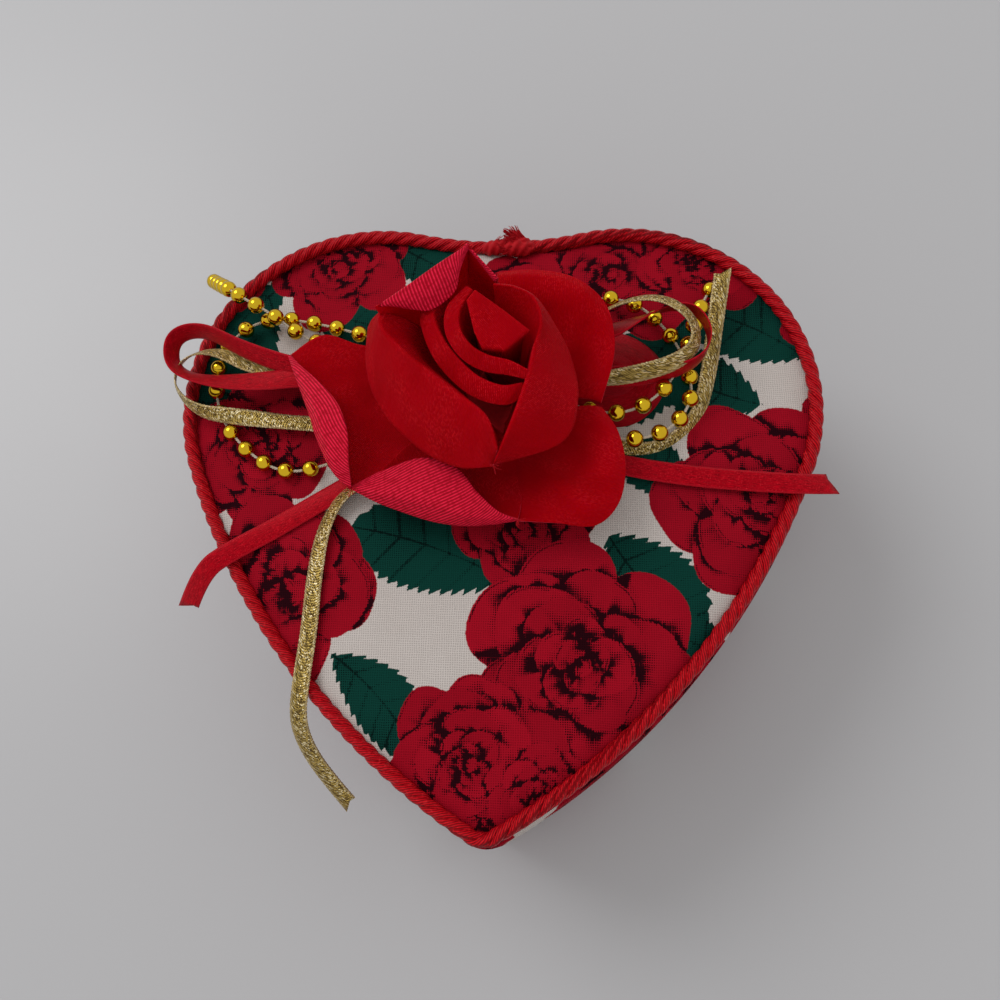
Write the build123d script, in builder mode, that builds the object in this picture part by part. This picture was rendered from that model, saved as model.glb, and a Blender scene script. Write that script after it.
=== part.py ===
"""Heart-shaped trinket box, in millimetres.

A fabric-covered board box stands on a felt base. Its padded lid turns on a cloth hinge at the back
of the two lobes and carries a twisted cord round its edge, a layered cloth rose, and three bows
tied together under the rose: a satin ribbon, a metallic ribbon and a string of beads.

The origin is the centre of the underside, +Z is up, the heart's tip points along -Y and its cleft
along +Y. Every heart-shaped layer is the same set of tangent arcs, grown or shrunk by an offset.
"""

import os
from math import atan2, cos, degrees, pi, radians, sin, sqrt, tan

from build123d import *

os.makedirs("parts", exist_ok=True)

# ---------------------------------------------------------------- heart outline (outside of the wall board)
lobe_offset = 25.2  # lobe centre, sideways from the middle plane
lobe_radius = 38.4
side_radius = 139.0  # long arc from each lobe to the tip
side_angle = 21.0  # degrees below the lobe centre's level where the lobe runs into the side
cleft_radius = 75.0  # shallow hollow between the lobes
tip_radius = 5.0
least_tip_radius = 0.3  # a layer whose tip would be rounded by less has a sharp one

# ---------------------------------------------------------------- boards, cloth and linings
box_height = 48.0  # table to the covered rim, which the lid rests on
felt_thickness = 0.8
felt_inset = 1.5
wall_thickness = 2.0
base_board_thickness = 2.5
cloth_thickness = 0.5
glue_line = 0.1
turn_under = 9.0  # cloth turned under the base and the lid
turn_down = 8.0  # cloth turned down inside the rim
lining_thickness = 0.9
lining_drop = 2.0  # rim left bare above the wall lining
floor_pad_thickness = 3.0
floor_pad_clearance = 0.4
floor_pad_edge = 1.2

# ---------------------------------------------------------------- lid
lid_inset = 0.4  # lid board inside the wall board's outline
lid_board_thickness = 2.5
lid_crown = 6.1  # top of the padding above the lid board's cover, at the middle
crown_drop = 5.52  # the lobes' far corners of the padding, below its middle
pad_inset = 3.4  # edge of the padding inside the lid board's outline
pad_edge = 1.2  # rounding of the padding's top edge
lid_lining_thickness = 1.0
lid_lining_clearance = 0.8
cord_radius = 1.65
cord_inset = 1.25  # cord's centre inside the wall board's outline
cord_gap = 0.8  # between the cord's two ends at the cleft
tuft_height = 3.8
tuft_radius = 2.6
tuft_lean = 30.0

# ---------------------------------------------------------------- cloth hinge
hinge_half_width = 10.0
hinge_leaf_height = 14.0
hinge_cloth = 0.4
hinge_slack = 0.8  # hinge line to the base leaf's upper edge
hinge_lid_slack = 0.4  # hinge line to the lid leaf's lower edge

# ---------------------------------------------------------------- rose
rose_x = 0.0
rose_y = 23.0
rose_radius = 36.0  # reach of the longest petal
heel_radius = 11.0
heel_thickness = 2.7
petal_cloth = 0.8
petal_bend = 0.24  # arc at each bend of a petal's middle section, as a share of its shorter run
seat_gap = 0.3  # soft pieces stand this far off what carries them
spread_ratio = 1.6  # a petal that reaches out this many times its rise lies spread
corner_share = 0.9  # rounding of a petal's corners, as a share of its half width or length
outline_share = 0.98  # of that rounding, so that a short straight stays between two corners
widest_span = 160.0  # a petal that wraps further round is no wider than this one

# ---------------------------------------------------------------- bows
satin_width = 4.0
satin_thickness = 0.35
fold_width = 9.0  # wide satin loop beneath the others
metallic_width = 3.2
metallic_thickness = 0.3
bead_diameter = 3.0
bow_bend = 0.45  # arc at each bend of a strand, as a share of its shorter run

# ---------------------------------------------------------------- levels and offsets, worked out
cloth_skin = glue_line + cloth_thickness
wall_bottom = felt_thickness + cloth_thickness + 2 * glue_line
wall_top = box_height - cloth_skin
floor_top = wall_bottom + base_board_thickness
lining_offset = -(wall_thickness + cloth_skin + glue_line)
inside_offset = lining_offset - lining_thickness
lid_board_bottom = box_height + cloth_skin
lid_board_top = lid_board_bottom + lid_board_thickness
ledge_height = lid_board_top + cloth_skin
lid_top = ledge_height + lid_crown
pad_offset = -(lid_inset + pad_inset)
cord_height = ledge_height + glue_line + cord_radius
heel_bottom = lid_top + seat_gap
petal_bottom = heel_bottom + heel_thickness + seat_gap

# Arcs of the right half, worked out once about the lobe centre's level.
side_x = lobe_offset - (side_radius - lobe_radius) * cos(radians(side_angle))
side_y = (side_radius - lobe_radius) * sin(radians(side_angle))
tip_y = side_y - sqrt((side_radius - tip_radius) ** 2 - side_x**2)
cleft_y = sqrt((lobe_radius + cleft_radius) ** 2 - lobe_offset**2)
tip_angle = degrees(atan2(tip_y - side_y, -side_x))
cleft_angle = degrees(atan2(cleft_y, -lobe_offset))
lobe_y = -(lobe_radius + tip_y - tip_radius) / 2  # puts the heart's middle on the origin
back_y = lobe_y + lobe_radius
hinge_y = back_y + cloth_skin

# The padding's top is part of a large sphere over the heart's middle.
lobe_reach = sqrt(lobe_offset**2 + lobe_y**2) + lobe_radius + pad_offset
crown_radius = (lobe_reach**2 + crown_drop**2) / (2 * crown_drop)


def half_heart(grow, cleft_half_gap=0.0):
    """Draw the right half of the heart, from the tip to the cleft, grown outwards by an offset."""
    side = side_radius + grow
    tip = tip_radius + grow
    trim = degrees(cleft_half_gap / (cleft_radius - grow))
    if tip > least_tip_radius:
        CenterArc((0, lobe_y + tip_y), tip, 270, tip_angle + 90)
        side_start = tip_angle
    else:
        side_start = -degrees(atan2(sqrt(side**2 - side_x**2), -side_x))
    CenterArc((side_x, lobe_y + side_y), side, side_start, -side_angle - side_start)
    CenterArc((lobe_offset, lobe_y), lobe_radius + grow, -side_angle, cleft_angle + side_angle)
    CenterArc((0, lobe_y + cleft_y), cleft_radius - grow, cleft_angle + 180, 90 - cleft_angle + trim)


def heart(grow, level):
    """Return the whole heart, grown by an offset, as a flat sketch at a level."""
    with BuildSketch(Plane.XY.offset(level)) as outline:
        with BuildLine():
            half_heart(grow)
            mirror(about=Plane.YZ)
        make_face()
    return outline.sketch


def heart_layer(grow, bottom, top, mode=Mode.ADD):
    """Extrude a heart between two levels in the part being made."""
    extrude(heart(grow, bottom), amount=top - bottom, mode=mode)


def save(builder, name):
    """Label a finished piece and write it to its own file."""
    builder.part.label = name
    export_step(builder.part, f"parts/{name}.step")


# ================================================================ base
with BuildPart() as base_felt:
    heart_layer(-felt_inset, 0, felt_thickness)
save(base_felt, "base_felt")

with BuildPart() as base_board:
    heart_layer(-wall_thickness - glue_line, wall_bottom, floor_top)
save(base_board, "base_board")

with BuildPart() as wall_board:
    heart_layer(0, wall_bottom, wall_top)
    heart_layer(-wall_thickness, wall_bottom, wall_top, mode=Mode.SUBTRACT)
save(wall_board, "wall_board")

# One cloth: turned under the base, up the outside, over the rim and down inside it.
with BuildPart() as wall_cover:
    hem_bottom = felt_thickness + glue_line
    hem_top = hem_bottom + cloth_thickness
    rim_inner = -wall_thickness - cloth_skin
    heart_layer(cloth_skin, hem_bottom, box_height)
    heart_layer(glue_line, hem_top, wall_top + glue_line, mode=Mode.SUBTRACT)
    heart_layer(-turn_under, hem_bottom, hem_top, mode=Mode.SUBTRACT)
    heart_layer(-wall_thickness - glue_line, box_height - turn_down, box_height)
    heart_layer(rim_inner, box_height - turn_down, box_height, mode=Mode.SUBTRACT)
save(wall_cover, "wall_cover")

with BuildPart() as wall_lining:
    heart_layer(lining_offset, floor_top + glue_line, box_height - lining_drop)
    heart_layer(inside_offset, floor_top + glue_line, box_height - lining_drop, mode=Mode.SUBTRACT)
save(wall_lining, "wall_lining")

with BuildPart() as floor_pad:
    pad_bottom = floor_top + glue_line
    heart_layer(inside_offset - floor_pad_clearance, pad_bottom, pad_bottom + floor_pad_thickness)
    fillet(floor_pad.faces().sort_by(Axis.Z)[-1].edges(), floor_pad_edge)
save(floor_pad, "floor_pad")


# ================================================================ lid
def padded_heart(grow, rise, edge):
    """Add padding on the lid: a heart prism under a shallow crown, its top edge rounded."""
    heart_layer(pad_offset + grow, lid_board_top + glue_line, lid_top + lid_crown)
    with Locations((0, 0, lid_top + rise - crown_radius)):
        Sphere(crown_radius, rotation=(90, 0, 0), mode=Mode.INTERSECT)
    top = faces().sort_by(Axis.Z)[-1]
    fillet(top.edges(), edge)


with BuildPart() as lid_board:
    heart_layer(-lid_inset, lid_board_bottom, lid_board_top)
save(lid_board, "lid_board")

with BuildPart() as lid_pad:
    padded_heart(0, -cloth_skin, pad_edge)
save(lid_pad, "lid_pad")

with BuildPart() as pad_space:
    padded_heart(glue_line, -cloth_thickness, pad_edge)

with BuildPart() as lid_cover:
    padded_heart(cloth_skin, 0, pad_edge + cloth_thickness)
    heart_layer(cloth_skin - lid_inset, box_height, ledge_height)
    board_space_top = lid_board_top + glue_line
    heart_layer(glue_line - lid_inset, box_height + cloth_thickness, board_space_top, mode=Mode.SUBTRACT)
    heart_layer(-turn_under, box_height, lid_board_bottom, mode=Mode.SUBTRACT)
    add(pad_space.part, mode=Mode.SUBTRACT)
save(lid_cover, "lid_cover")

with BuildPart() as lid_lining:
    lining_top = box_height - glue_line
    heart_layer(inside_offset - lid_lining_clearance, lining_top - lid_lining_thickness, lining_top)
save(lid_lining, "lid_lining")

# Twisted cord, laid on the ledge round the padding with its two ends at the cleft.
with BuildPart() as lid_cord:
    with BuildLine(Plane.XY.offset(cord_height)) as cord_path:
        half_heart(-cord_inset, cord_gap / 2)
        mirror(about=Plane.YZ)
    with BuildSketch(cord_path.wires()[0] ^ 0):
        Circle(cord_radius)
    sweep(path=cord_path.wires()[0])
save(lid_cord, "lid_cord")

# Frayed ends of the cord, standing up and back out of the cleft.
with BuildPart() as cord_tuft:
    tuft_foot = (0, lobe_y + cleft_y - cleft_radius - cord_inset, cord_height + cord_radius + seat_gap)
    with BuildSketch(Plane.XY.offset(tuft_foot[2])) as foot:
        with Locations(tuft_foot[:2]):
            Circle(cord_radius)
    lean = tuft_height * tan(radians(tuft_lean))
    with BuildSketch(Plane.XY.offset(tuft_foot[2] + tuft_height)):
        with Locations((tuft_foot[0], tuft_foot[1] + lean)):
            Circle(tuft_radius)
    loft()
save(cord_tuft, "cord_tuft")


# ================================================================ cloth hinge
def hinge_leaves(inner, bottom, top):
    """Add the two patches of hinge cloth that follow the back of the lobes between two levels."""
    heart_layer(inner + hinge_cloth, bottom, top)
    heart_layer(inner, bottom, top, mode=Mode.SUBTRACT)
    reach = lobe_radius / 2
    with Locations(
        (-lobe_offset, back_y, (bottom + top) / 2),
        (lobe_offset, back_y, (bottom + top) / 2),
    ):
        Box(2 * hinge_half_width, reach, top - bottom, mode=Mode.INTERSECT)


with BuildPart() as hinge_cloth_base:
    leaf_top = box_height - hinge_slack
    hinge_leaves(cloth_skin + glue_line, leaf_top - hinge_leaf_height, leaf_top)
save(hinge_cloth_base, "hinge_cloth_base")

with BuildPart() as hinge_cloth_lid:
    hinge_leaves(cloth_skin - lid_inset + glue_line, box_height + hinge_lid_slack, ledge_height)
save(hinge_cloth_lid, "hinge_cloth_lid")

# ================================================================ rose
rose_base = Plane((rose_x, rose_y, petal_bottom))

with BuildPart() as rose_heel:
    with BuildSketch(Plane.XY.offset(heel_bottom)):
        with Locations((rose_x, rose_y)):
            Circle(heel_radius)
    extrude(amount=heel_thickness)
save(rose_heel, "rose_heel")


def bend_radii(points, share):
    """Give each inner corner of a route an arc that takes a share of the shorter of its two runs."""
    radii = []
    for before, here, after in zip(points, points[1:], points[2:]):
        run_in = Vector(*here) - Vector(*before)
        run_out = Vector(*after) - Vector(*here)
        half_turn = radians(run_in.get_angle(run_out)) / 2
        radii.append(share * min(run_in.length, run_out.length) / tan(half_turn))
    return radii


def rose_petal(name, shares, start, span):
    """Make one petal: a cupped strip turned about the rose's axis, with its rim's corners rounded.

    The shares are the petal's middle section, as (radius, height) in hundredths of the rose's radius.
    """
    profile = [(radius * rose_radius / 100, height * rose_radius / 100) for radius, height in shares]
    first = radians(start)
    middle = radians(start + span / 2)
    outward = Vector(cos(middle), sin(middle), 0)
    sideways = Vector(-sin(middle), cos(middle), 0)
    section_plane = Plane(
        rose_base.origin,
        x_dir=(cos(first), sin(first), 0),
        z_dir=(sin(first), -cos(first), 0),
    )
    reach = max(radius for radius, height in profile) + petal_cloth
    rise = max(height for radius, height in profile) + petal_cloth
    half_width = reach * sin(radians(min(span, widest_span)) / 2)
    spread = reach > spread_ratio * rise
    length = reach if spread else rise
    corner = corner_share * min(half_width, length)
    if spread:
        # A spread petal is rounded as seen from above.
        middle_point = rose_base.origin + outward * (length - corner) / 2
        outline_plane = Plane(middle_point, x_dir=sideways, z_dir=(0, 0, 1))
    else:
        # A standing petal is rounded as seen from its side.
        middle_point = rose_base.origin + Vector(0, 0, (length - corner) / 2)
        outline_plane = Plane(middle_point, x_dir=sideways, z_dir=outward)
    with BuildPart() as petal:
        with BuildSketch(section_plane):
            with BuildLine():
                FilletPolyline(*profile, radius=bend_radii(profile, petal_bend))
            trace(line_width=petal_cloth)
        revolve(axis=Axis(rose_base.origin, (0, 0, 1)), revolution_arc=span)
        with BuildSketch(outline_plane):
            RectangleRounded(2 * half_width, length + corner, outline_share * corner)
        extrude(amount=reach + rise, both=True, mode=Mode.INTERSECT)
    save(petal, name)


# name, middle section, first angle and width of angle about the rose's axis
petals = [
    ("petal_left", [(25, 1.1), (56, 4.9), (86, 9.2), (98, 17), (90, 26.4)], 160, 64),
    ("petal_front_left", [(25, 1.1), (50, 2.2), (74, 5.6), (80, 17), (62, 26.4)], 226, 58),
    ("petal_front_right", [(25, 1.1), (47, 3.3), (67, 11), (80, 14), (87, 9)], 286, 58),
    ("petal_right", [(25, 1.1), (42, 8.3), (57, 25), (64, 39), (71, 43)], 346, 90),
    ("petal_back", [(25, 1.1), (36, 14), (44, 36), (48, 56), (39, 66)], 78, 80),
    ("cup_left", [(16.7, 1.1), (28, 17), (35, 36), (39, 50), (53, 51.5), (61, 39)], 158, 114),
    ("cup_right", [(16.7, 1.1), (26.5, 17), (32, 33), (35, 46), (46, 47), (53, 36)], 274, 110),
    ("wrap_left", [(10, 1.1), (17, 20), (20, 39), (21, 56)], 118, 174),
    ("wrap_right", [(10, 1.1), (17.3, 20), (21, 36), (22.3, 51.5)], 295, 180),
]
for petal_name, petal_shares, petal_start, petal_span in petals:
    rose_petal(petal_name, petal_shares, petal_start, petal_span)

with BuildPart() as rose_bud:
    with BuildSketch(Plane(rose_base.origin, x_dir=(1, 0, 0), z_dir=(0, -1, 0))):
        foot_radius, bud_radius, bud_height = (share * rose_radius / 100 for share in (6.7, 12, 62.5))
        shoulder = bud_height - bud_radius
        with BuildLine():
            Line((0, 0), (foot_radius, 0))
            Line((foot_radius, 0), (bud_radius, shoulder))
            CenterArc((0, shoulder), bud_radius, 0, 90)
            Line((0, bud_height), (0, 0))
        make_face()
    revolve(axis=Axis(rose_base.origin, (0, 0, 1)))
save(rose_bud, "rose_bud")


# ================================================================ bows
def bow_strand(name, points, width, thickness=None):
    """Sweep a ribbon's flat section, or a bead string's round one, along its route."""
    radii = bend_radii(points, bow_bend)
    with BuildPart() as strand:
        with BuildLine() as route:
            FilletPolyline(*points, radius=radii)
        path = route.wires()[0]
        start = Plane(path ^ 0)
        if thickness:
            flat = Plane(start.origin, x_dir=start.z_dir.cross(Vector(0, 0, 1)), z_dir=start.z_dir)
            with BuildSketch(flat):
                Rectangle(width, thickness)
            sweep(path=path)
            expected = width * thickness * path.length
        else:
            with BuildSketch(start):
                Circle(width / 2)
            sweep(path=path)
            expected = pi * width**2 / 4 * path.length
    share = strand.part.volume / expected
    print(f"{name}: length {path.length:.1f}, least radius {min(radii):.1f}, volume share {share:.3f}")
    save(strand, name)


satin = (satin_width, satin_thickness)
wide_satin = (fold_width, satin_thickness)
metallic = (metallic_width, metallic_thickness)
beads = (bead_diameter,)

bow_strand("red_loop_left", [
    (-14.0, 25.0, 60.7), (-28.0, 25.2, 61.0), (-40.0, 27.2, 61.2), (-50.0, 30.8, 61.2),
    (-58.6, 35.6, 61.0), (-65.0, 34.0, 60.6), (-64.4, 27.2, 60.3), (-58.0, 24.6, 60.2),
    (-48.0, 24.2, 60.1), (-36.0, 25.6, 60.1), (-26.0, 25.4, 60.1), (-14.0, 23.0, 60.0)], *satin)
bow_strand("red_tail_left", [
    (-9.8, 14.0, 59.2), (-20.0, 8.2, 58.2), (-31.0, 2.0, 57.4), (-41.9, -4.6, 56.4),
    (-50.0, -9.0, 56.2), (-55.4, -12.8, 55.6), (-58.8, -18.6, 51.0)], *satin)
bow_strand("red_tail_right", [
    (10.6, 11.6, 59.0), (24.0, 8.2, 58.2), (38.0, 6.4, 57.2), (49.5, 5.8, 56.4), (58.6, 5.4, 56.2),
    (64.0, 6.0, 54.4)], *satin)
bow_strand("red_loop_right", [
    (12.6, 30.4, 60.6), (22.0, 33.6, 62.2), (32.0, 38.4, 63.2), (38.4, 38.6, 63.4),
    (41.6, 32.6, 63.4), (39.0, 26.8, 63.4), (31.0, 24.6, 63.0), (21.0, 24.6, 62.0),
    (13.4, 25.2, 60.6)], *satin)
bow_strand("red_fold_right", [
    (4.0, 29.4, 57.3), (18.0, 33.2, 57.1), (26.0, 32.6, 56.8), (30.4, 27.0, 56.8),
    (26.5, 21.0, 57.0), (20.0, 20.6, 57.4), (14.0, 20.8, 57.6), (6.0, 20.6, 57.7)], *wide_satin)
bow_strand("gold_loop_left", [
    (-13.0, 19.4, 58.6), (-24.0, 15.8, 58.2), (-38.0, 16.4, 58.0), (-51.0, 17.8, 58.2),
    (-59.6, 19.0, 58.2), (-64.8, 24.6, 58.2), (-63.2, 30.6, 58.2), (-56.6, 32.2, 58.2),
    (-48.0, 27.6, 58.2), (-36.0, 25.6, 58.4), (-24.0, 24.8, 58.6), (-13.6, 24.4, 58.8)], *metallic)
bow_strand("gold_tail_left", [
    (-7.6, 12.0, 60.4), (-17.5, 7.0, 60.0), (-27.4, 3.0, 59.2), (-31.8, -3.8, 57.6),
    (-33.0, -13.5, 57.0), (-33.2, -24.0, 56.8), (-34.0, -33.0, 56.6), (-35.2, -39.6, 52.8),
    (-34.6, -44.4, 46.8), (-32.0, -49.4, 41.0), (-27.6, -54.6, 37.4)], *metallic)
bow_strand("gold_loop_right", [
    (10.6, 31.6, 61.2), (18.0, 35.6, 64.0), (25.0, 39.0, 65.4), (31.8, 39.4, 66.0),
    (37.4, 35.4, 66.2), (38.4, 29.6, 66.0), (34.4, 26.0, 65.6), (27.0, 24.0, 64.8),
    (19.0, 23.4, 63.2), (12.9, 24.0, 61.4)], *metallic)
bow_strand("gold_tail_right", [
    (12.0, 14.6, 58.2), (21.0, 12.6, 57.7), (31.0, 11.0, 56.9), (39.0, 17.8, 56.0),
    (41.6, 28.0, 56.0), (42.8, 37.6, 57.8), (44.4, 48.0, 59.0)], *metallic)
bow_strand("bead_loop_left", [
    (-13.4, 30.8, 59.6), (-24.0, 34.4, 58.2), (-35.0, 38.0, 57.2), (-46.8, 40.4, 56.0),
    (-54.4, 36.2, 55.6), (-57.2, 28.0, 55.6), (-55.2, 18.4, 55.8), (-48.0, 10.4, 56.6),
    (-40.0, 6.0, 57.6), (-30.0, 8.4, 58.4), (-20.0, 12.6, 59.2), (-12.2, 16.8, 60.1)], *beads)
bow_strand("bead_tail_left", [
    (-22.0, 29.4, 58.2), (-31.0, 31.6, 57.8), (-39.6, 35.2, 58.0), (-45.6, 39.4, 59.8),
    (-50.6, 42.2, 59.6), (-55.2, 45.6, 58.0), (-59.6, 50.2, 51.0), (-62.6, 53.4, 46.0),
    (-65.2, 56.2, 41.8)], *beads)
bow_strand("bead_loop_right", [
    (9.6, 36.8, 60.0), (17.5, 43.0, 58.8), (27.0, 42.6, 58.0), (33.2, 37.0, 57.5),
    (37.2, 30.0, 57.3), (38.2, 20.6, 59.2), (32.6, 13.8, 59.5), (22.5, 12.4, 59.8),
    (12.6, 15.4, 59.9)], *beads)
bow_strand("bead_tail_right", [
    (13.6, 20.6, 59.4), (20.0, 17.8, 59.8), (27.5, 18.4, 60.4), (33.6, 23.4, 61.2),
    (37.6, 32.0, 61.4), (39.4, 40.4, 57.8), (42.2, 45.6, 56.4)], *beads)
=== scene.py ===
"""Heart-shaped trinket box: cloth, cord, ribbons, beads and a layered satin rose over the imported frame.

Lengths are millimetres until a mesh is made, apart from the stage, which is in metres.
The heart's tip points along -Y, its cleft along +Y, and Z is up from the table.
"""
import random
from math import atan2, cos, pi, radians, sin, sqrt

import bpy
import numpy as np
from mathutils import Matrix, Vector


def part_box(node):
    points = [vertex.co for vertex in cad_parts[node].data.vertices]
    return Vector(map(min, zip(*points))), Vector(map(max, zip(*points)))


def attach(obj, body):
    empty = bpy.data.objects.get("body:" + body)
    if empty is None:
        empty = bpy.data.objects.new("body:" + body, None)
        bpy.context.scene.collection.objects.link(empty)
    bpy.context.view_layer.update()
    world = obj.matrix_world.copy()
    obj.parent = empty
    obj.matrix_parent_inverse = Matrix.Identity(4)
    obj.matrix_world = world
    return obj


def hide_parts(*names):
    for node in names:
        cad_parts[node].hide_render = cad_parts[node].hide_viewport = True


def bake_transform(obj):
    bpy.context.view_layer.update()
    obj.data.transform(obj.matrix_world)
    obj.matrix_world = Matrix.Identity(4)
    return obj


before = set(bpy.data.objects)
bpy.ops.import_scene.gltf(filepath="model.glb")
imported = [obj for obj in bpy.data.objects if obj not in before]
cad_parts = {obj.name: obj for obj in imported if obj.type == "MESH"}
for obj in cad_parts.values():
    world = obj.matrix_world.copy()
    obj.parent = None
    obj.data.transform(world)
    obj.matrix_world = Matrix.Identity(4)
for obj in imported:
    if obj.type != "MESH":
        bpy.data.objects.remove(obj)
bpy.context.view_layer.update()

bl_info = {
    "name": "Heart trinket box",
    "version": (1, 0, 0),
    "blender": (4, 5, 0),
    "location": "3D View > Sidebar > Trinket box",
    "description": "Printed cotton, twisted cord, bows of ribbon and beads, and a layered satin rose",
    "category": "Object",
}

MM = 0.001
UV_SCALE = 100.0  # one UV unit is 100 mm of cloth

# The heart outline at the wall board's outside: tangent arcs, mirrored about the middle plane.
LOBE_OFFSET = 25.2
LOBE_RADIUS = 38.4
SIDE_RADIUS = 139.0
SIDE_ANGLE = radians(21.0)
CLEFT_RADIUS = 75.0
TIP_RADIUS = 5.0
MIDDLE = np.array(((0.0, 2.0),))  # the one-point ring that inner rings are drawn in towards
FAR = 1000.0  # further than any point of the box


def node_box(name):
    """Lowest and highest corners of a frame node, in millimetres."""
    low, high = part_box(name)
    return np.array(low) / MM, np.array(high) / MM


COVER_LOW, COVER_HIGH = node_box("lid_cover")
LOBE_Y = node_box("wall_board")[1][1] - LOBE_RADIUS  # level of the lobes' centres
RIM_Z = node_box("wall_cover")[1][2]  # covered rim that the lid rests on
LID_TOP = COVER_HIGH[2]
CORD_Z = sum(node_box("lid_cord"))[2] / 2  # level of the cord's middle line
CORD_GROW = -1.25  # the cord's middle line from the outline
CORD_PLIES = 3
STRING_PLIES = 3
WALL_CLOTH_GROW = 0.6  # the wall's cloth from the outline
COTTON_THREAD = 0.42  # distance between neighbouring threads
HINGE_CLOTH, SATIN_CLOTH, METALLIC_CLOTH = 0.36, 0.22, 0.24  # thicknesses
METALLIC_SCALLOP = 0.03  # waves of the metallic ribbon's edges, as a share of its width
DOME_RADIUS = 429.0  # sphere of the padded lid's top
HINGE_HALF_WIDTH = 10.0
HINGE_STAND_OFF = (0.9, 0.5)  # middle of the patch outside the outline, on the wall and on the lid


# ---------------------------------------------------------------- colours and settings
def tint(red, green, blue):
    """A display colour from 0-255 levels, as the linear colour that shaders read."""
    levels = []
    for level in (red / 255, green / 255, blue / 255):
        levels.append(level / 12.92 if level <= 0.04045 else ((level + 0.055) / 1.055) ** 2.4)
    return tuple(levels)


def colour(name, description, red, green, blue):
    """A colour setting from 0-255 levels."""
    return bpy.props.FloatVectorProperty(
        name=name, description=description, subtype="COLOR", size=3, min=0, max=1,
        default=tint(red, green, blue))


def length(name, description, millimetres):
    """A length setting, given in millimetres and kept in metres."""
    return bpy.props.FloatProperty(
        name=name, description=description, unit="LENGTH", min=0, default=millimetres * MM)


class PrintedCottonSettings(bpy.types.PropertyGroup):
    cream: colour("Cream ground", "Unprinted cotton", 190, 182, 177)
    crimson: colour("Crimson", "Printed petals", 158, 12, 32)
    burgundy: colour("Burgundy", "Printed petals in shade", 118, 4, 20)
    ink: colour("Ink", "Dark strokes between the petals", 34, 2, 9)
    leaf: colour("Leaf green", "Printed leaves", 8, 54, 46)
    leaf_shade: colour("Leaf shade", "Dark side of the leaves", 2, 22, 19)
    thread: length("Thread pitch", "Distance between neighbouring threads of the cotton", COTTON_THREAD)


class RoseSettings(bpy.types.PropertyGroup):
    face: colour("Petal face", "Smooth side of the petal satin", 154, 0, 12)
    # The reverse colour is the painted highlight of the rib tops; petal_reverse mixes it with a darker red
    # between the ribs.
    reverse: colour("Petal reverse", "Ribbed side of the petal satin", 232, 34, 68)
    cut_edge: colour("Cut edge", "Heat-sealed edge of the petal satin", 214, 52, 70)
    cloth: length("Cloth", "Thickness of the petal satin", 0.28)
    rib: length("Rib pitch", "Distance between the ribs of the reverse", 0.62)


class TrimSettings(bpy.types.PropertyGroup):
    cord: colour("Cord", "Twisted satin cord", 196, 12, 26)
    ribbon: colour("Satin ribbon", "Narrow satin ribbon", 170, 4, 22)
    metallic: colour("Metallic ribbon", "Woven metallic ribbon", 204, 174, 92)
    bead: colour("Beads", "Mirror-plated beads", 222, 184, 42)
    string: colour("Bead string", "Cream thread of the beads", 205, 196, 182)
    ply_pitch: length("Ply pitch", "Length of one full turn of a ply", 9.6)
    ply_radius: length("Ply radius", "Radius of one ply of the cord", 0.84)
    bead_pitch: length("Bead pitch", "Distance between bead centres", 4.85)
    bead_radius: length("Bead radius", "Radius of a bead", 1.68)
    satin_width: length("Satin width", "Width of the satin ribbon", 4.0)
    fold_width: length("Wide satin width", "Width of the wide satin loop under the right bow", 9.0)
    metallic_width: length("Metallic width", "Width of the metallic ribbon", 3.2)


class StageSettings(bpy.types.PropertyGroup):
    floor: colour("Table", "Pale painted table top", 178, 178, 180)
    sky: bpy.props.FloatProperty(
        name="Sky", description="Strength of the even light from all round", min=0, default=0.74)
    window: bpy.props.FloatProperty(
        name="Window", description="Power of the large soft lamp, in watts", min=0, default=4.4)


def settings(group):
    """The scene's values of one group of settings."""
    return getattr(bpy.context.scene, group)


# ---------------------------------------------------------------- node trees
class NodeCalls:
    """Short calls for filling a node tree: each adds one node and returns its result."""

    def __init__(self, tree):
        self.nodes = tree.nodes
        self.links = tree.links

    def put(self, value, socket):
        """Link or set a socket; None leaves it as it is."""
        if isinstance(value, bpy.types.NodeSocket):
            self.links.new(value, socket)
        elif value is not None:
            if hasattr(socket.default_value, "__len__") and len(socket.default_value) == 4:
                value = (*tuple(value)[:3], 1.0)
            socket.default_value = value

    def add(self, kind, values=None, **options):
        """Add a node; values maps socket names or numbers to constants or other nodes' sockets."""
        node = self.nodes.new(kind)
        for option, value in options.items():
            setattr(node, option, value)
        for socket, value in (values or {}).items():
            self.put(value, node.inputs[socket])
        return node.outputs

    def math(self, operation, a, b=None, c=None, clamp=False):
        return self.add("ShaderNodeMath", {0: a, 1: b, 2: c}, operation=operation, use_clamp=clamp)[0]

    def times(self, a, b, plus=None, clamp=False):
        """Product of two values, with a third one added where it is given."""
        return self.math("MULTIPLY" if plus is None else "MULTIPLY_ADD", a, b, plus, clamp)

    def plus(self, a, b):
        return self.math("ADD", a, b)


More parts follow.
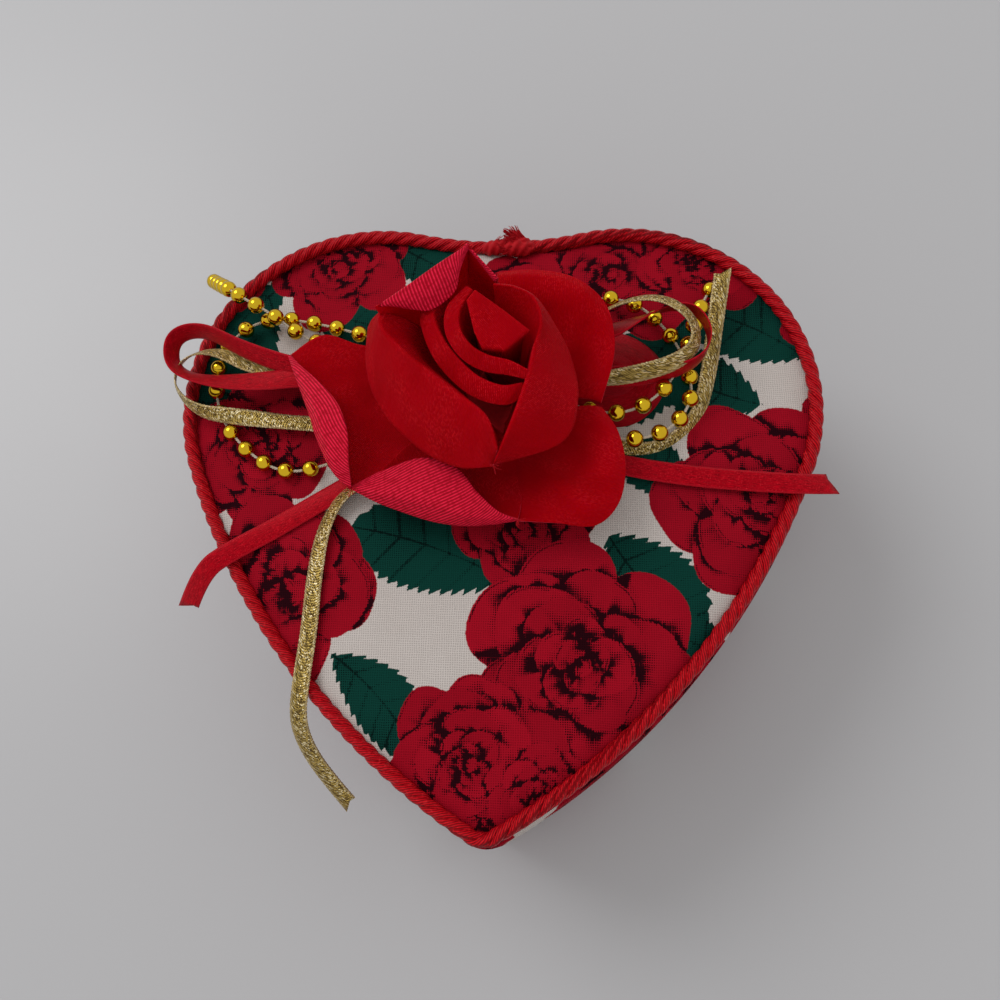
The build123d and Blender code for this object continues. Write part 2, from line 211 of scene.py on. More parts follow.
class Shader(NodeCalls):
    """A material's node tree while it is filled."""

    def __init__(self, name):
        self.material = bpy.data.materials.new(name)
        self.material.use_nodes = True
        super().__init__(self.material.node_tree)
        self.surface = self.nodes["Principled BSDF"]

    def mix(self, share, a, b, blend="MIX"):
        return self.add("ShaderNodeMix", {"Factor": share, 6: a, 7: b}, data_type="RGBA",
                        blend_type=blend)[2]

    def step(self, value, low, high, from_level=0.0, to_level=1.0):
        levels = dict(enumerate((value, low, high, from_level, to_level)))
        return self.add("ShaderNodeMapRange", levels, interpolation_type="SMOOTHSTEP")[0]

    def attribute(self, name):
        return self.add("ShaderNodeAttribute", attribute_name=name)["Fac"]

    def place(self, source="Object"):
        return self.add("ShaderNodeTexCoord")[source]

    def stretched(self, vector, x, y, z):
        return self.add("ShaderNodeMapping", {"Vector": vector, "Scale": (x, y, z)})[0]

    def axis(self, vector, letter):
        return self.add("ShaderNodeSeparateXYZ", {0: vector})[letter]

    def noise(self, vector, scale, detail=2.0, roughness=0.5):
        return self.add("ShaderNodeTexNoise", {
            "Vector": vector, "Scale": scale, "Detail": detail, "Roughness": roughness})["Fac"]

    def grain(self, x, y, detail=2.0, roughness=0.5):
        """Noise over the cloth, with x and y spots to one UV unit."""
        return self.noise(self.stretched(self.place("UV"), x, y, 1), 1.0, detail, roughness)

    def cloth_mm(self):
        """Distances across and along the cloth, in millimetres."""
        cloth = self.place("UV")
        return [self.times(self.axis(cloth, letter), UV_SCALE) for letter in "XY"]

    def wave(self, distance, pitch):
        """A sine from 0 to 1 that repeats each pitch of a distance."""
        return self.times(self.math("SINE", self.times(distance, 2 * pi / pitch)), 0.5, 0.5)

    def bump(self, height, distance, strength=1.0, under=None):
        return self.add("ShaderNodeBump", {
            "Distance": distance * MM, "Strength": strength, "Height": height, "Normal": under})[0]

    def finish(self, base, roughness, normal=None, **sockets):
        """Connect the surface; keyword names are the shader's sockets, with _ for a space."""
        sockets.update(Base_Color=base, Roughness=roughness, Normal=normal)
        for socket, value in sockets.items():
            self.put(value, self.surface.inputs[socket.replace("_", " ")])
        return self.material


def woven(paint, pitch):
    """Plain-weave height from 0 to 1 on a piece's UV map, with uneven threads."""
    across, along = paint.cloth_mm()
    sway = paint.times(paint.grain(60, 60), 0.9 * pitch)
    warp = paint.wave(paint.plus(across, sway), pitch)
    weft = paint.wave(paint.plus(along, sway), pitch)
    warp = paint.times(warp, paint.plus(paint.grain(240, 18, 1.0), 0.45))
    weft = paint.times(weft, paint.plus(paint.grain(18, 240, 1.0), 0.45))
    return paint.math("MAXIMUM", warp, weft)


# ---------------------------------------------------------------- meshes
def linked(name, data):
    """A new object in the scene that carries the given data."""
    piece = bpy.data.objects.new(name, data)
    bpy.context.collection.objects.link(piece)
    return piece


def new_piece(name, points, faces, materials, uvs, face_materials=None):
    """Make a smooth mesh object from millimetre points, with one UV pair for each point."""
    mesh = bpy.data.meshes.new(name)
    mesh.from_pydata([tuple(point) for point in np.asarray(points, float) * MM], [], faces)
    for material in materials:
        mesh.materials.append(material)
    if face_materials is not None:
        mesh.polygons.foreach_set("material_index", np.asarray(face_materials, np.int32))
    layer = mesh.uv_layers.new(name="cloth")
    corners = np.zeros(len(mesh.loops), np.int32)
    mesh.loops.foreach_get("vertex_index", corners)
    flat = np.asarray(uvs, float)[corners] / UV_SCALE
    layer.data.foreach_set("uv", flat.astype(np.float32).ravel())
    mesh.polygons.foreach_set("use_smooth", np.full(len(mesh.polygons), True))
    mesh.update()
    return linked(name, mesh)


def walked(line):
    """Distance walked along a line to each of its points."""
    return np.concatenate([[0], np.cumsum(np.linalg.norm(np.diff(line, axis=0), axis=1))])


def points_at(line, steps, wanted):
    """Points of a line at the wanted distances along it."""
    return np.stack([np.interp(wanted, steps, line[:, k]) for k in range(line.shape[1])], 1)


def unit(vectors):
    """Vectors of length 1."""
    return vectors / np.maximum(np.linalg.norm(vectors, axis=-1, keepdims=True), 1e-9)


def catmull(net, count):
    """Smooth a net of points along its first axis, through every given point."""
    ends_first = 2 * net[:1] - net[1:2]
    ends_last = 2 * net[-1:] - net[-2:-1]
    padded = np.concatenate([ends_first, net, ends_last])
    places = np.linspace(0, len(net) - 1, count)
    spans = np.minimum(places.astype(int), len(net) - 2)
    share = (places - spans).reshape((-1,) + (1,) * (net.ndim - 1))
    a, b, c, d = (padded[spans + shift] for shift in range(4))
    return 0.5 * (2 * b + (c - a) * share + (2 * a - 5 * b + 4 * c - d) * share**2
                  + (3 * b - 3 * c + d - a) * share**3)


def smooth_net(rows, across, along, creases):
    """Fill a given net with a smooth surface; a crease is a row that keeps a fold."""
    net = np.array(rows, float)
    net = np.swapaxes(catmull(np.swapaxes(net, 0, 1), across), 0, 1)
    stops = [0, *creases, len(net) - 1]
    parts = []
    for first, last in zip(stops, stops[1:]):
        count = max(2, round(along * (last - first) / (len(net) - 1)))
        part = catmull(net[first:last + 1], count + 1)
        parts.append(part if not parts else part[1:])
    surface = np.concatenate(parts)
    for _ in range(3 if creases else 0):
        surface[1:-1] = 0.5 * surface[1:-1] + 0.25 * (surface[:-2] + surface[2:])
    return surface


def surface_normals(surface):
    """Directions that a net of points faces."""
    return unit(np.cross(np.gradient(surface, axis=1), np.gradient(surface, axis=0)))


def cloth_distances(surface):
    """Distances across and along a net of points, as the cloth would measure them."""
    across = np.linalg.norm(np.diff(surface, axis=1), axis=2)
    along = np.linalg.norm(np.diff(surface, axis=0), axis=2)
    u = np.concatenate([np.zeros((surface.shape[0], 1)), np.cumsum(across, 1)], 1)
    v = np.concatenate([np.zeros((1, surface.shape[1])), np.cumsum(along, 0)], 0)
    u = u - u[:, u.shape[1] // 2][:, None]
    return np.stack([u, v], 2)


def cloth_shell(name, surface, thickness, materials, turn=0.0):
    """Give a net of points a face, a reverse and a cut edge, for materials 0, 1 and 2."""
    rows, columns = surface.shape[:2]
    count = rows * columns
    rise = surface_normals(surface) * thickness / 2
    points = np.concatenate([(surface + rise).reshape(-1, 3), (surface - rise).reshape(-1, 3)])
    turned = cloth_distances(surface).reshape(-1, 2) @ ((cos(turn), sin(turn)), (-sin(turn), cos(turn)))
    index = np.arange(count).reshape(rows, columns)
    corners = index[:-1, :-1], index[:-1, 1:], index[1:, 1:], index[1:, :-1]
    quads = np.stack(corners, 2).reshape(-1, 4)
    back = quads[:, ::-1] + count
    rim = np.concatenate([index[0, :], index[1:, -1], index[-1, -2::-1], index[-2:0:-1, 0]])
    after = np.roll(rim, -1)
    edge = np.stack([after, rim, rim + count, after + count], 1)
    kinds = np.repeat((0, 1, 2), (len(quads), len(back), len(edge)))
    return new_piece(name, points, np.concatenate([quads, back, edge]).tolist(), materials,
                     np.concatenate([turned, turned]), kinds)


def ring_shell(name, rings, materials, uvs=None):
    """Join rings of points into a closed band, or a closed cap where an end ring is one point."""
    uvs = uvs or [ring[:, :2] for ring in rings]
    starts = np.cumsum([0] + [len(ring) for ring in rings]).tolist()
    faces = []
    for number, (ring, following) in enumerate(zip(rings, rings[1:] + rings[:1])):
        here, there = starts[number], starts[(number + 1) % len(rings)]
        size, next_size = len(ring), len(following)
        count = max(size, next_size)
        for k in range(count if count > 1 else 0):
            k2 = (k + 1) % count
            corners = (here + k % size, here + k2 % size, there + k2 % next_size, there + k % next_size)
            faces.append(tuple(dict.fromkeys(corners)))  # a corner met twice makes a triangle
    return new_piece(name, np.concatenate(rings), faces, materials, np.concatenate(uvs))


def join_meshes(name, parts):
    """Join finished pieces into one object, keeping their materials."""
    bpy.ops.object.select_all(action="DESELECT")
    for part in parts:
        part.select_set(True)
    bpy.context.view_layer.objects.active = parts[0]
    bpy.ops.object.join()
    parts[0].name = name
    return parts[0]


def bake_modifiers(piece):
    """Turn the evaluated piece into a plain mesh and drop its modifiers."""
    evaluated = piece.evaluated_get(bpy.context.evaluated_depsgraph_get())
    mesh = bpy.data.meshes.new_from_object(evaluated)
    name = piece.name
    bpy.data.objects.remove(piece)
    return linked(name, mesh)


# ---------------------------------------------------------------- heart outline
def heart_corners(grow):
    """Centres, radii and first and last angles of the right half's arcs, from the tip to the cleft."""
    reach = SIDE_RADIUS - LOBE_RADIUS
    side_x = LOBE_OFFSET - reach * cos(SIDE_ANGLE)
    side_y = LOBE_Y + reach * sin(SIDE_ANGLE)
    tip_y = side_y - sqrt((SIDE_RADIUS - TIP_RADIUS) ** 2 - side_x**2)
    cleft_y = LOBE_Y + sqrt((LOBE_RADIUS + CLEFT_RADIUS) ** 2 - LOBE_OFFSET**2)
    side_start = atan2(tip_y - side_y, -side_x)
    lobe_end = atan2(cleft_y - LOBE_Y, -LOBE_OFFSET)
    return [
        ((0, tip_y), TIP_RADIUS + grow, -pi / 2, side_start),
        ((side_x, side_y), SIDE_RADIUS + grow, side_start, -SIDE_ANGLE),
        ((LOBE_OFFSET, LOBE_Y), LOBE_RADIUS + grow, -SIDE_ANGLE, lobe_end),
        ((0, cleft_y), CLEFT_RADIUS - grow, lobe_end - pi, -pi / 2),
    ]


def heart_ring(grow, count):
    """Evenly spread points round the outline, clockwise seen from above, starting at the cleft."""
    pieces = []
    for (cx, cy), radius, first, last in heart_corners(grow):
        angles = np.linspace(first, last, 400)
        pieces.append(np.stack([cx + radius * np.cos(angles), cy + radius * np.sin(angles)], 1))
    right = np.concatenate(pieces)[::-1]  # cleft to tip
    left = right[::-1] * (-1, 1)
    whole = np.concatenate([right, left[1:]])
    steps = walked(whole)
    return points_at(whole, steps, np.arange(count) / count * steps[-1])


def heart_perimeter(grow):
    """Length of the way round the outline."""
    ring = heart_ring(grow, 720)
    return float(np.linalg.norm(ring - np.roll(ring, -1, 0), axis=1).sum())


def drawn_in(ring, share):
    """A flat ring drawn in towards the heart's middle."""
    return MIDDLE + (ring - MIDDLE) * share


def with_height(ring, height):
    """A flat ring lifted to one height, or to a height for each point."""
    return np.column_stack([ring, np.full(len(ring), height)])


def heart_level(grow, columns, height):
    """A ring round the outline at one height."""
    return with_height(heart_ring(grow, columns), height)


def heart_depth(place):
    """Distance inside the outline of each (x, y) point, by the nearest arc."""
    x, y = np.abs(place[:, 0]), place[:, 1]
    depth = np.full(len(place), FAR)
    for number, ((cx, cy), radius, first, last) in enumerate(heart_corners(0.0)):
        distance = np.hypot(x - cx, y - cy)
        angle = np.arctan2(y - cy, x - cx)
        facing = (angle >= min(first, last) - 1e-3) & (angle <= max(first, last) + 1e-3)
        inside = distance - radius if number == 3 else radius - distance
        depth = np.where(facing, np.minimum(depth, inside), depth)
    return depth


# ---------------------------------------------------------------- printed cotton
def ripple(angle, chance, strength):
    """Uneven factor round a petal's edge."""
    total = np.zeros_like(angle)
    for order in (1, 2, 3, 5):
        total += np.sin(order * angle + chance.uniform(0, 2 * pi)) / (order + 1)
    return 1 + strength * total


def brush_marks(along, chance, orders):
    """Uneven strokes side by side, from -1 to 1."""
    total = sum(np.sin(order * along + chance.uniform(0, 2 * pi)) for order in orders)
    return total / len(orders) ** 0.5 / 1.4


def print_leaf(inks, place, base, tip, width, bend, seed):
    """Draw one serrated leaf: its green area, veins and shaded side."""
    chance = random.Random(seed)
    base, tip = np.array(base, float), np.array(tip, float)
    size = np.linalg.norm(tip - base)
    along = (tip - base) / size
    share = (place - base) @ along / size
    held = np.clip(share, 0, 1)
    side = (place - base) @ np.array((-along[1], along[0])) - bend * 4 * held * (1 - held)
    teeth = round(size / 2.1)
    saw = (held * teeth + chance.random()) % 1.0
    half = width / 2 * np.sin(pi * held**0.8) ** 0.7 - 0.075 * width * saw
    inside = np.minimum(half - np.abs(side), size * np.minimum(share, 1 - share) + 0.4)
    vein = np.abs((held * 6.5 + 0.9 * np.abs(side) / width * 2) % 1.0 - 0.5)
    ribs = np.clip(1 - np.abs(side) / 0.35, 0, 1) + 0.55 * (vein > 0.43)
    shaded = np.clip(0.42 + 0.55 * side / width + 0.25 * np.sin(9 * held + seed), 0, 1)
    covered = inside > 0
    shade = np.clip(0.8 * ribs + 0.85 * shaded, 0, 1)
    inks["leaf_shade"] = np.where(covered, shade, inks["leaf_shade"])
    inks["leaf"] = np.maximum(inks["leaf"], inside)


# Rings of a printed rose's petals, the outer ones first: how many, and their offset and radius as
# shares of the rose's size.
PRINT_RINGS = ((6, 0.60, 0.44), (5, 0.42, 0.40), (4, 0.28, 0.32), (4, 0.17, 0.23), (3, 0.09, 0.155),
               (2, 0.035, 0.085))


def print_rose(inks, place, centre, size, turn, seed):
    """Draw one full-blown rose, its outer petals first, each shading the petals that it covers."""
    chance = random.Random(seed)
    near = np.linalg.norm(place - centre, axis=1) < 1.5 * size
    spot = place[near] - centre
    rose, shade, tone = inks["rose"][near], inks["shade"][near], inks["tone"][near]
    outline = np.full(len(spot), -FAR)
    for ring, (count, offset, radius) in enumerate(PRINT_RINGS):
        for k in range(count):
            bearing = turn + 2 * pi * (k + 0.5 * (ring % 2) + chance.uniform(-0.15, 0.15)) / count
            outward = np.array((cos(bearing), sin(bearing)))
            middle = size * offset * chance.uniform(0.88, 1.1) * outward
            reach = spot - middle
            angle = np.arctan2(reach[:, 1], reach[:, 0]) - bearing
            petal = size * radius * chance.uniform(0.9, 1.12)
            inside = petal * ripple(angle, chance, 0.13) - np.linalg.norm(reach, axis=1)
            feather = brush_marks(angle, chance, (3, 5, 9, 15))
            width = size * chance.uniform(0.06, 0.13) * np.clip(1 + 0.9 * feather, 0.15, 2.2)
            where = np.clip(0.35 + 0.8 * np.sin(angle + chance.uniform(-0.9, 0.9)) ** 2, 0, 1)
            cast = where * np.clip(1.25 + inside / width, 0, 1)
            over = (inside <= 0) & (np.maximum(rose, outline) > 0)
            shade = np.where(over, np.maximum(shade, cast), shade)
            local_out = reach @ outward / petal
            local_side = reach @ np.array((-outward[1], outward[0])) / petal
            fan = local_side / np.maximum(1.35 + local_out, 0.3)
            fan = fan + chance.uniform(-0.25, 0.25) * local_out
            marks = brush_marks(fan, chance, (4, 8, 13, 22))
            level = chance.uniform(-0.6, 0.1) + 0.05 * ring + chance.uniform(-0.7, 0.7) * local_side
            hollow = np.clip((level + 0.42 * marks - local_out) * 1.7, 0, 1)
            rim = np.clip(1.3 - np.abs(inside / size - 0.02) / 0.012, 0, 1)
            rim = rim * (brush_marks(angle, chance, (2, 3)) > 0.1)
            depth = chance.uniform(0.0, 0.6) + 0.5 * np.clip(0.4 - local_out, 0, 1)
            covered = inside > 0
            shade = np.where(covered, np.maximum(hollow, 0.8 * rim), shade)
            tone = np.where(covered, depth, tone)
            outline = np.maximum(outline, inside)
    inks["rose"][near] = np.maximum(rose, outline)
    inks["shade"][near], inks["tone"][near] = shade, tone


def print_cotton(piece, places, leaves, roses):
    """Store the print over a piece as attributes: signed edges in mm and shading from 0 to 1."""
    place = np.concatenate(places)
    count = len(place)
    inks = {"rose": np.full(count, -9.0), "leaf": np.full(count, -9.0), "shade": np.zeros(count),
            "tone": np.zeros(count), "leaf_shade": np.zeros(count)}
    for number, (base, tip, width, bend) in enumerate(leaves):
        print_leaf(inks, place, base, tip, width, bend, number)
    for number, (centre, size, turn) in enumerate(roses):
        print_rose(inks, place, np.array(centre, float), size, radians(turn), 50 + number)
    for name, values in inks.items():
        layer = piece.data.attributes.new("print_" + name, "FLOAT", "POINT")
        layer.data.foreach_set("value", np.clip(values, -4, 4).astype(np.float32))


def printed_cotton():
    """Plain-weave cotton with its rose print, the inks lying on the raised threads."""
    wish = settings("printed_cotton")
    paint = Shader("rose_print")
    weave = woven(paint, wish.thread / MM)
    blotch = paint.grain(14, 14, 3.0)
    wander = paint.times(paint.grain(190, 190, 3.0, 0.6), 0.55, -0.27)

    def area(name):
        return paint.step(paint.plus(paint.attribute("print_" + name), wander), -0.1, 0.1)

    def speckled(name, low, high):
        level = paint.times(wander, 0.5, paint.attribute("print_" + name))
        gate = paint.times(weave, high - low, low)
        return paint.step(paint.math("SUBTRACT", level, gate), -0.12, 0.12)

    ground = paint.mix(paint.times(blotch, 0.3), wish.cream, tint(168, 156, 148))
    tone = paint.times(blotch, 0.5, paint.times(paint.attribute("print_tone"), 0.7))
    petals = paint.mix(paint.times(tone, 0.8, clamp=True), wish.crimson, wish.burgundy)
    petals = paint.mix(speckled("shade", 0.22, 0.8), petals, wish.ink)
    leaves = paint.mix(speckled("leaf_shade", 0.3, 0.95), wish.leaf, wish.leaf_shade)
    print_over = paint.mix(area("leaf"), ground, leaves)
    print_over = paint.mix(area("rose"), print_over, petals)
    # Painted shade in the gaps between the threads, with a little painted light on their raised tops,
    # multiplied over the print.
    thread_shade = paint.step(weave, 0.25, 0.85, 0.74, 1.06)
    shadowed = paint.mix(1.0, print_over, thread_shade, "MULTIPLY")
    relief = paint.bump(weave, 0.07, 0.9)
    relief = paint.bump(blotch, 0.5, 0.35, relief)
    return paint.finish(shadowed, 0.82, relief, Specular_IOR_Level=0.04)


# The lid's print: leaves as (base, tip, width, bend) and roses as (centre, size, turn), in mm.
LID_LEAVES = (
    ((-27, -4), (4, -14.5), 19, 1.5), ((-12, -46), (-29, -28), 13, -1.5), ((39, -23), (22, -5), 20, 1.5),
    ((32, -23), (44, -28), 11, 0.8), ((32, 30), (52, 22), 16, -1), ((38, 43), (61, 33), 18, 1.5),
    ((-61, 13), (-46, 42), 20, 2), ((-20, 36), (-41, 43), 13, -0.8), ((-47, 21), (-57, 26), 9, 0.6),
    ((-6, 49), (-24, 60), 13, 0.6), ((24, 12), (37, 3), 12, 1), ((-2, 45), (-12, 52), 9, 0.5),
    ((-52, -5), (-46, -14), 7, 1), ((-30, 24), (-42, 26), 9, 0.6), ((23, 17), (40, 43), 17, 1),
    ((-59, 34), (-45, 50), 13, 1),
)
LID_ROSES = (
    ((-34, 54), 15, 20), ((22, 51), 18, 75), ((41, 54), 13, 10), ((-47, 13), 17, 40),
    ((-39, -16), 19, 110), ((50, 4), 19.5, 65), ((6, -3), 13, 15), ((17, -29), 21.5, 35),
    ((-3, -47), 15.5, 80), ((0, 20), 16, 0), ((53, -19), 8, 50), ((4, 45), 11, 120), ((10, -52), 9, 30),
)


def side_print():
    """Small roses and leaves that follow the side of the lid."""
    chance = random.Random(5)
    spots = heart_ring(5.6, 24)
    leaves, roses = [], []
    for spot, following in zip(spots, np.roll(spots, -1, 0)):
        step = (following - spot) * 0.6
        if len(roses) % 3 == len(leaves) % 3:
            leaves.append((tuple(spot - step), tuple(spot + step), 11, 0.5))
        roses.append((tuple(spot + step * 0.8), chance.uniform(6, 8.5), chance.uniform(0, 360)))
    return tuple(leaves), tuple(roses)


def lid_cloth_height(place):
    """Height of the padded lid's cloth: a low dome that rounds down to the cord."""
    depth = heart_depth(place)
    dome = LID_TOP - (place**2).sum(1) / (2 * DOME_RADIUS)
    fall = np.clip(1 - (depth - 1.5) / 7.5, 0, 1)
    edge = CORD_Z - 1.0
    pucker = 0.12 * np.sin(np.arctan2(place[:, 1], place[:, 0]) * 46) * np.clip(1 - depth / 6, 0, 1)
    return dome - (dome - edge) * fall**2.6 + pucker


def on_dome(ring, drop=0.0):
    """A flat ring laid over the lid's padded top, or a little under it."""
    return with_height(ring, lid_cloth_height(ring) - drop)


def make_lid_cloth():
    """Printed cotton over the padded lid, down its side and turned under its board."""
    columns, top_rows = 900, 190
    low = COVER_LOW[2]
    edge = heart_ring(-1.7, columns)
    outward = heart_ring(0.35, columns) - heart_ring(-0.65, columns)
    places = [MIDDLE] + [drawn_in(edge, share) for share in np.linspace(0, 1, top_rows)[1:]]
    rings = [on_dome(flat) for flat in places]
    travel = 1.0
    # Down the side and turned under the board: how far out, level, how far drawn in, and the cloth
    # used since the ring before.
    for grow, height, share, used in (
            (-0.9, CORD_Z - 1.5, 1.0, 1.0), (0.0, CORD_Z - 1.9, 1.0, 1.0), (0.12, low + 3.0, 1.0, 1.0),
            (0.14, low + 1.6, 1.0, 1.0), (0.1, low + 0.6, 1.0, 1.0), (-0.2, low + 0.12, 1.0, 1.0),
            (-0.9, low + 0.04, 1.0, 2.0), (-0.9, low + 0.04, 0.93, 2.0),
            (-0.9, low + 0.45, 0.925, 2.0)):
        rings.append(with_height(drawn_in(heart_ring(grow, columns), share), height))
        travel += used
        places.append(edge + outward * travel)
    for grow, height in ((-1.0, low + 0.5), (-0.5, low + 1.2), (-0.5, CORD_Z - 2.6)):
        rings.append(heart_level(grow, columns, height))
        places.append(places[-1])
    for share in (0.985, 0.9, 0.5):
        places.append(drawn_in(edge, share))
        rings.append(on_dome(places[-1], 0.55))
    rings.append(with_height(MIDDLE, LID_TOP - 0.5))
    places.append(MIDDLE)
    piece = ring_shell("lid_printed_cotton", rings, [printed_cotton()], places)
    side_leaves, side_roses = side_print()
    print_cotton(piece, places, side_leaves + LID_LEAVES, side_roses + LID_ROSES)
    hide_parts("lid_cover")
    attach(piece, "lid")


def make_wadding():
    """Polyester wadding under the lid's cloth, thinning out towards its edge."""
    inset, under = 4.2, 0.75  # its edge inside the outline, and its top under the cloth's
    low = node_box("lid_pad")[0][2]
    whole = heart_ring(-inset, 300)
    rings = []
    for share in np.linspace(0, 1, 40):
        flat = drawn_in(whole, share) if share else MIDDLE
        rings.append(with_height(flat, np.maximum(lid_cloth_height(flat) - under, low + 0.3)))
    rings += [with_height(drawn_in(whole, share), low) for share in (1.0, 0.99, 0.5)]
    rings.append(with_height(MIDDLE, low))
    piece = ring_shell("lid_wadding", rings, [pad_wadding()])
    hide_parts("lid_pad")
    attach(piece, "lid")


def wall_print():
    """Roses and leaves scattered along the wall's cloth, the same all round."""
    chance = random.Random(11)
    roses, leaves = [], []
    around, groups = heart_perimeter(WALL_CLOTH_GROW), 15

    def scatter(x, y, least, most):
        roses.append(((x, y), chance.uniform(least, most), chance.uniform(0, 360)))

    for number in range(groups):
        odd = number % 2
        x = around * (number + 0.5) / groups + chance.uniform(-3, 3)
        y = 14 + 22 * odd + chance.uniform(-4, 4)
        scatter(x, y, 14, 17.5)
        scatter(x + 13, 40 - 26 * odd + chance.uniform(-3, 3), 12, 15)
        scatter(x + 5, 53 - 46 * odd, 9, 12)
        for lean in (-1, 1):
            turn = chance.uniform(0.5, 1.1) * lean + pi / 2 * (1 if y < 24 else -1)
            root = (x + 12 * cos(turn), y + 12 * sin(turn))
            leaf_tip = (root[0] + 17 * cos(turn), root[1] + 17 * sin(turn))
            leaves.append((root, leaf_tip, 11, lean))
    return leaves, roses


def make_wall_cloth():
    """Printed cotton round the wall: turned down inside the rim and turned under the base."""
    columns = 640
    inside = -2.62  # cloth on the inner face of the board, which is 2 mm thick
    turned_in = 9.0  # how far the cloth reaches down inside the rim
    top, low = RIM_Z, node_box("wall_cover")[0][2]
    visible = [(inside, top - turned_in), (inside, top - 4.0), (inside, top - 1.6), (inside + 0.1, top - 0.6),
               (inside + 0.5, top - 0.12), (-1.0, top - 0.02), (0.1, top - 0.12), (0.5, top - 0.5)]
    for height in np.linspace(top - 1.2, low + 1.6, 74):
        bulge = 0.55 * sin(pi * (height - low) / (top - low))
        visible.append((WALL_CLOTH_GROW + bulge, height))
    visible += [(0.58, low + 0.7), (0.3, low + 0.12), (-0.2, low)]
    rings = [heart_level(grow, columns, height) for grow, height in visible]
    spread = np.arange(columns)[:, None] / columns * heart_perimeter(WALL_CLOTH_GROW)
    places = [with_height(spread, travel - turned_in) for travel in walked(np.array(visible))]
    for share, lift in ((0.99, 0.0), (0.9, 0.0), (0.895, 0.4), (0.98, 0.45)):
        rings.append(with_height(drawn_in(heart_ring(-0.5, columns), share), low + lift))
    for grow, height in ((0.05, low + 1.0), (0.05, top - 0.7), (-1.9, top - 0.7), (inside + 0.35, top - 1.0),
                         (inside + 0.4, top - turned_in)):
        rings.append(heart_level(grow, columns, height))
    places += [places[-1]] * (len(rings) - len(places))
    piece = ring_shell("wall_printed_cotton", rings, [bpy.data.materials["rose_print"]], places)
    print_cotton(piece, places, *wall_print())
    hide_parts("wall_cover")
    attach(piece, "box")


# ---------------------------------------------------------------- finishes
def petal_face():
    """Smooth side of the petal satin: deep red with a fine twill whose floats carry painted glints."""
    wish = settings("rose")
    paint = Shader("petal_face")
    twill = paint.wave(paint.plus(*paint.cloth_mm()), 0.42)
    grain = paint.grain(320, 320)
    soft = paint.grain(9, 9)
    colour_here = paint.mix(paint.step(soft, 0.35, 0.7, 0.0, 0.55), wish.face, tint(128, 0, 5))
    # Painted glints: paler red specks on the twill floats, in scattered patches.
    speck = paint.grain(190, 190, 1.0)
    shown = paint.step(paint.grain(14, 14, 1.0), 0.42, 0.62, 0.15, 0.8)
    painted_twill_glints = paint.times(paint.step(paint.times(speck, twill), 0.4, 0.56), shown)
    colour_here = paint.mix(painted_twill_glints, colour_here, tint(204, 30, 38))
    relief = paint.bump(paint.times(twill, grain), 0.08, 0.9)
    folds = paint.grain(26, 5)
    relief = paint.bump(paint.plus(soft, paint.times(folds, 0.9)), 1.1, 0.4, relief)
    return paint.finish(colour_here, 0.58, relief, Specular_IOR_Level=0.17, Specular_Tint=tint(255, 24, 24),
                        Subsurface_Weight=0.35, Subsurface_Radius=(1.0, 0.06, 0.04), Subsurface_Scale=0.002)


def petal_reverse():
    """Ribbed side of the petal satin: brighter, with fine ribs along the weft whose tops carry a painted
    highlight.
    """
    wish = settings("rose")
    paint = Shader("petal_reverse")
    along = paint.cloth_mm()[1]
    rib = paint.wave(paint.times(paint.grain(12, 12, 1.0), 0.5, along), wish.rib / MM)
    grain = paint.grain(190, 60)
    uneven = paint.step(grain, 0.3, 0.62, 0.35, 1.3)
    # Painted highlight on the rib tops, with a darker red between the ribs standing in for their shade.
    light = paint.times(paint.math("POWER", rib, 1.6), uneven, clamp=True)
    colour_here = paint.mix(light, tint(156, 0, 22), wish.reverse)
    relief = paint.bump(rib, 0.16, 0.9)
    return paint.finish(colour_here, 0.46, relief, Specular_IOR_Level=0.45, Specular_Tint=tint(255, 80, 100))


def cut_edge():
    """Sealed edge of the cut satin, a thin paler line."""
    paint = Shader("petal_cut_edge")
    grain = paint.noise(paint.place(), 2400)
    colour_here = paint.mix(grain, settings("rose").cut_edge, tint(142, 4, 16))
    return paint.finish(colour_here, 0.5, paint.bump(grain, 0.05), Specular_IOR_Level=0.4,
                        Specular_Tint=tint(255, 90, 90))


def satin_ribbon():
    """Narrow satin ribbon: long shining floats shown as painted sheen streaks and painted glints, and a
    cord-like selvedge on each side.
    """
    wish = settings("trims")
    paint = Shader("satin_ribbon")
    across, along = paint.cloth_mm()
    floats = paint.grain(700, 70)
    weft = paint.wave(along, 0.34)
    half = wish.satin_width / MM / 2
    selvedge = paint.step(paint.math("ABSOLUTE", across), half - 0.42, half - 0.3)
    # Painted glints: pale red specks over the satin.
    painted_ribbon_glints = paint.step(paint.grain(420, 420, 1.0), 0.58, 0.72, 0.0, 0.5)
    # Painted sheen: streaks along the floats fall from the ribbon colour to a dark red.
    colour_here = paint.mix(paint.step(floats, 0.3, 0.7, 0.0, 0.85), wish.ribbon, tint(104, 0, 8))
    colour_here = paint.mix(painted_ribbon_glints, colour_here, tint(220, 48, 58))
    colour_here = paint.mix(paint.times(selvedge, 0.4), colour_here, tint(182, 22, 38))
    ribs = paint.times(weft, paint.times(selvedge, 0.8, 0.2))
    relief = paint.bump(paint.plus(ribs, paint.times(floats, 0.5)), 0.05, 0.8)
    return paint.finish(colour_here, 0.34, relief, Specular_IOR_Level=0.4, Specular_Tint=tint(255, 64, 78))


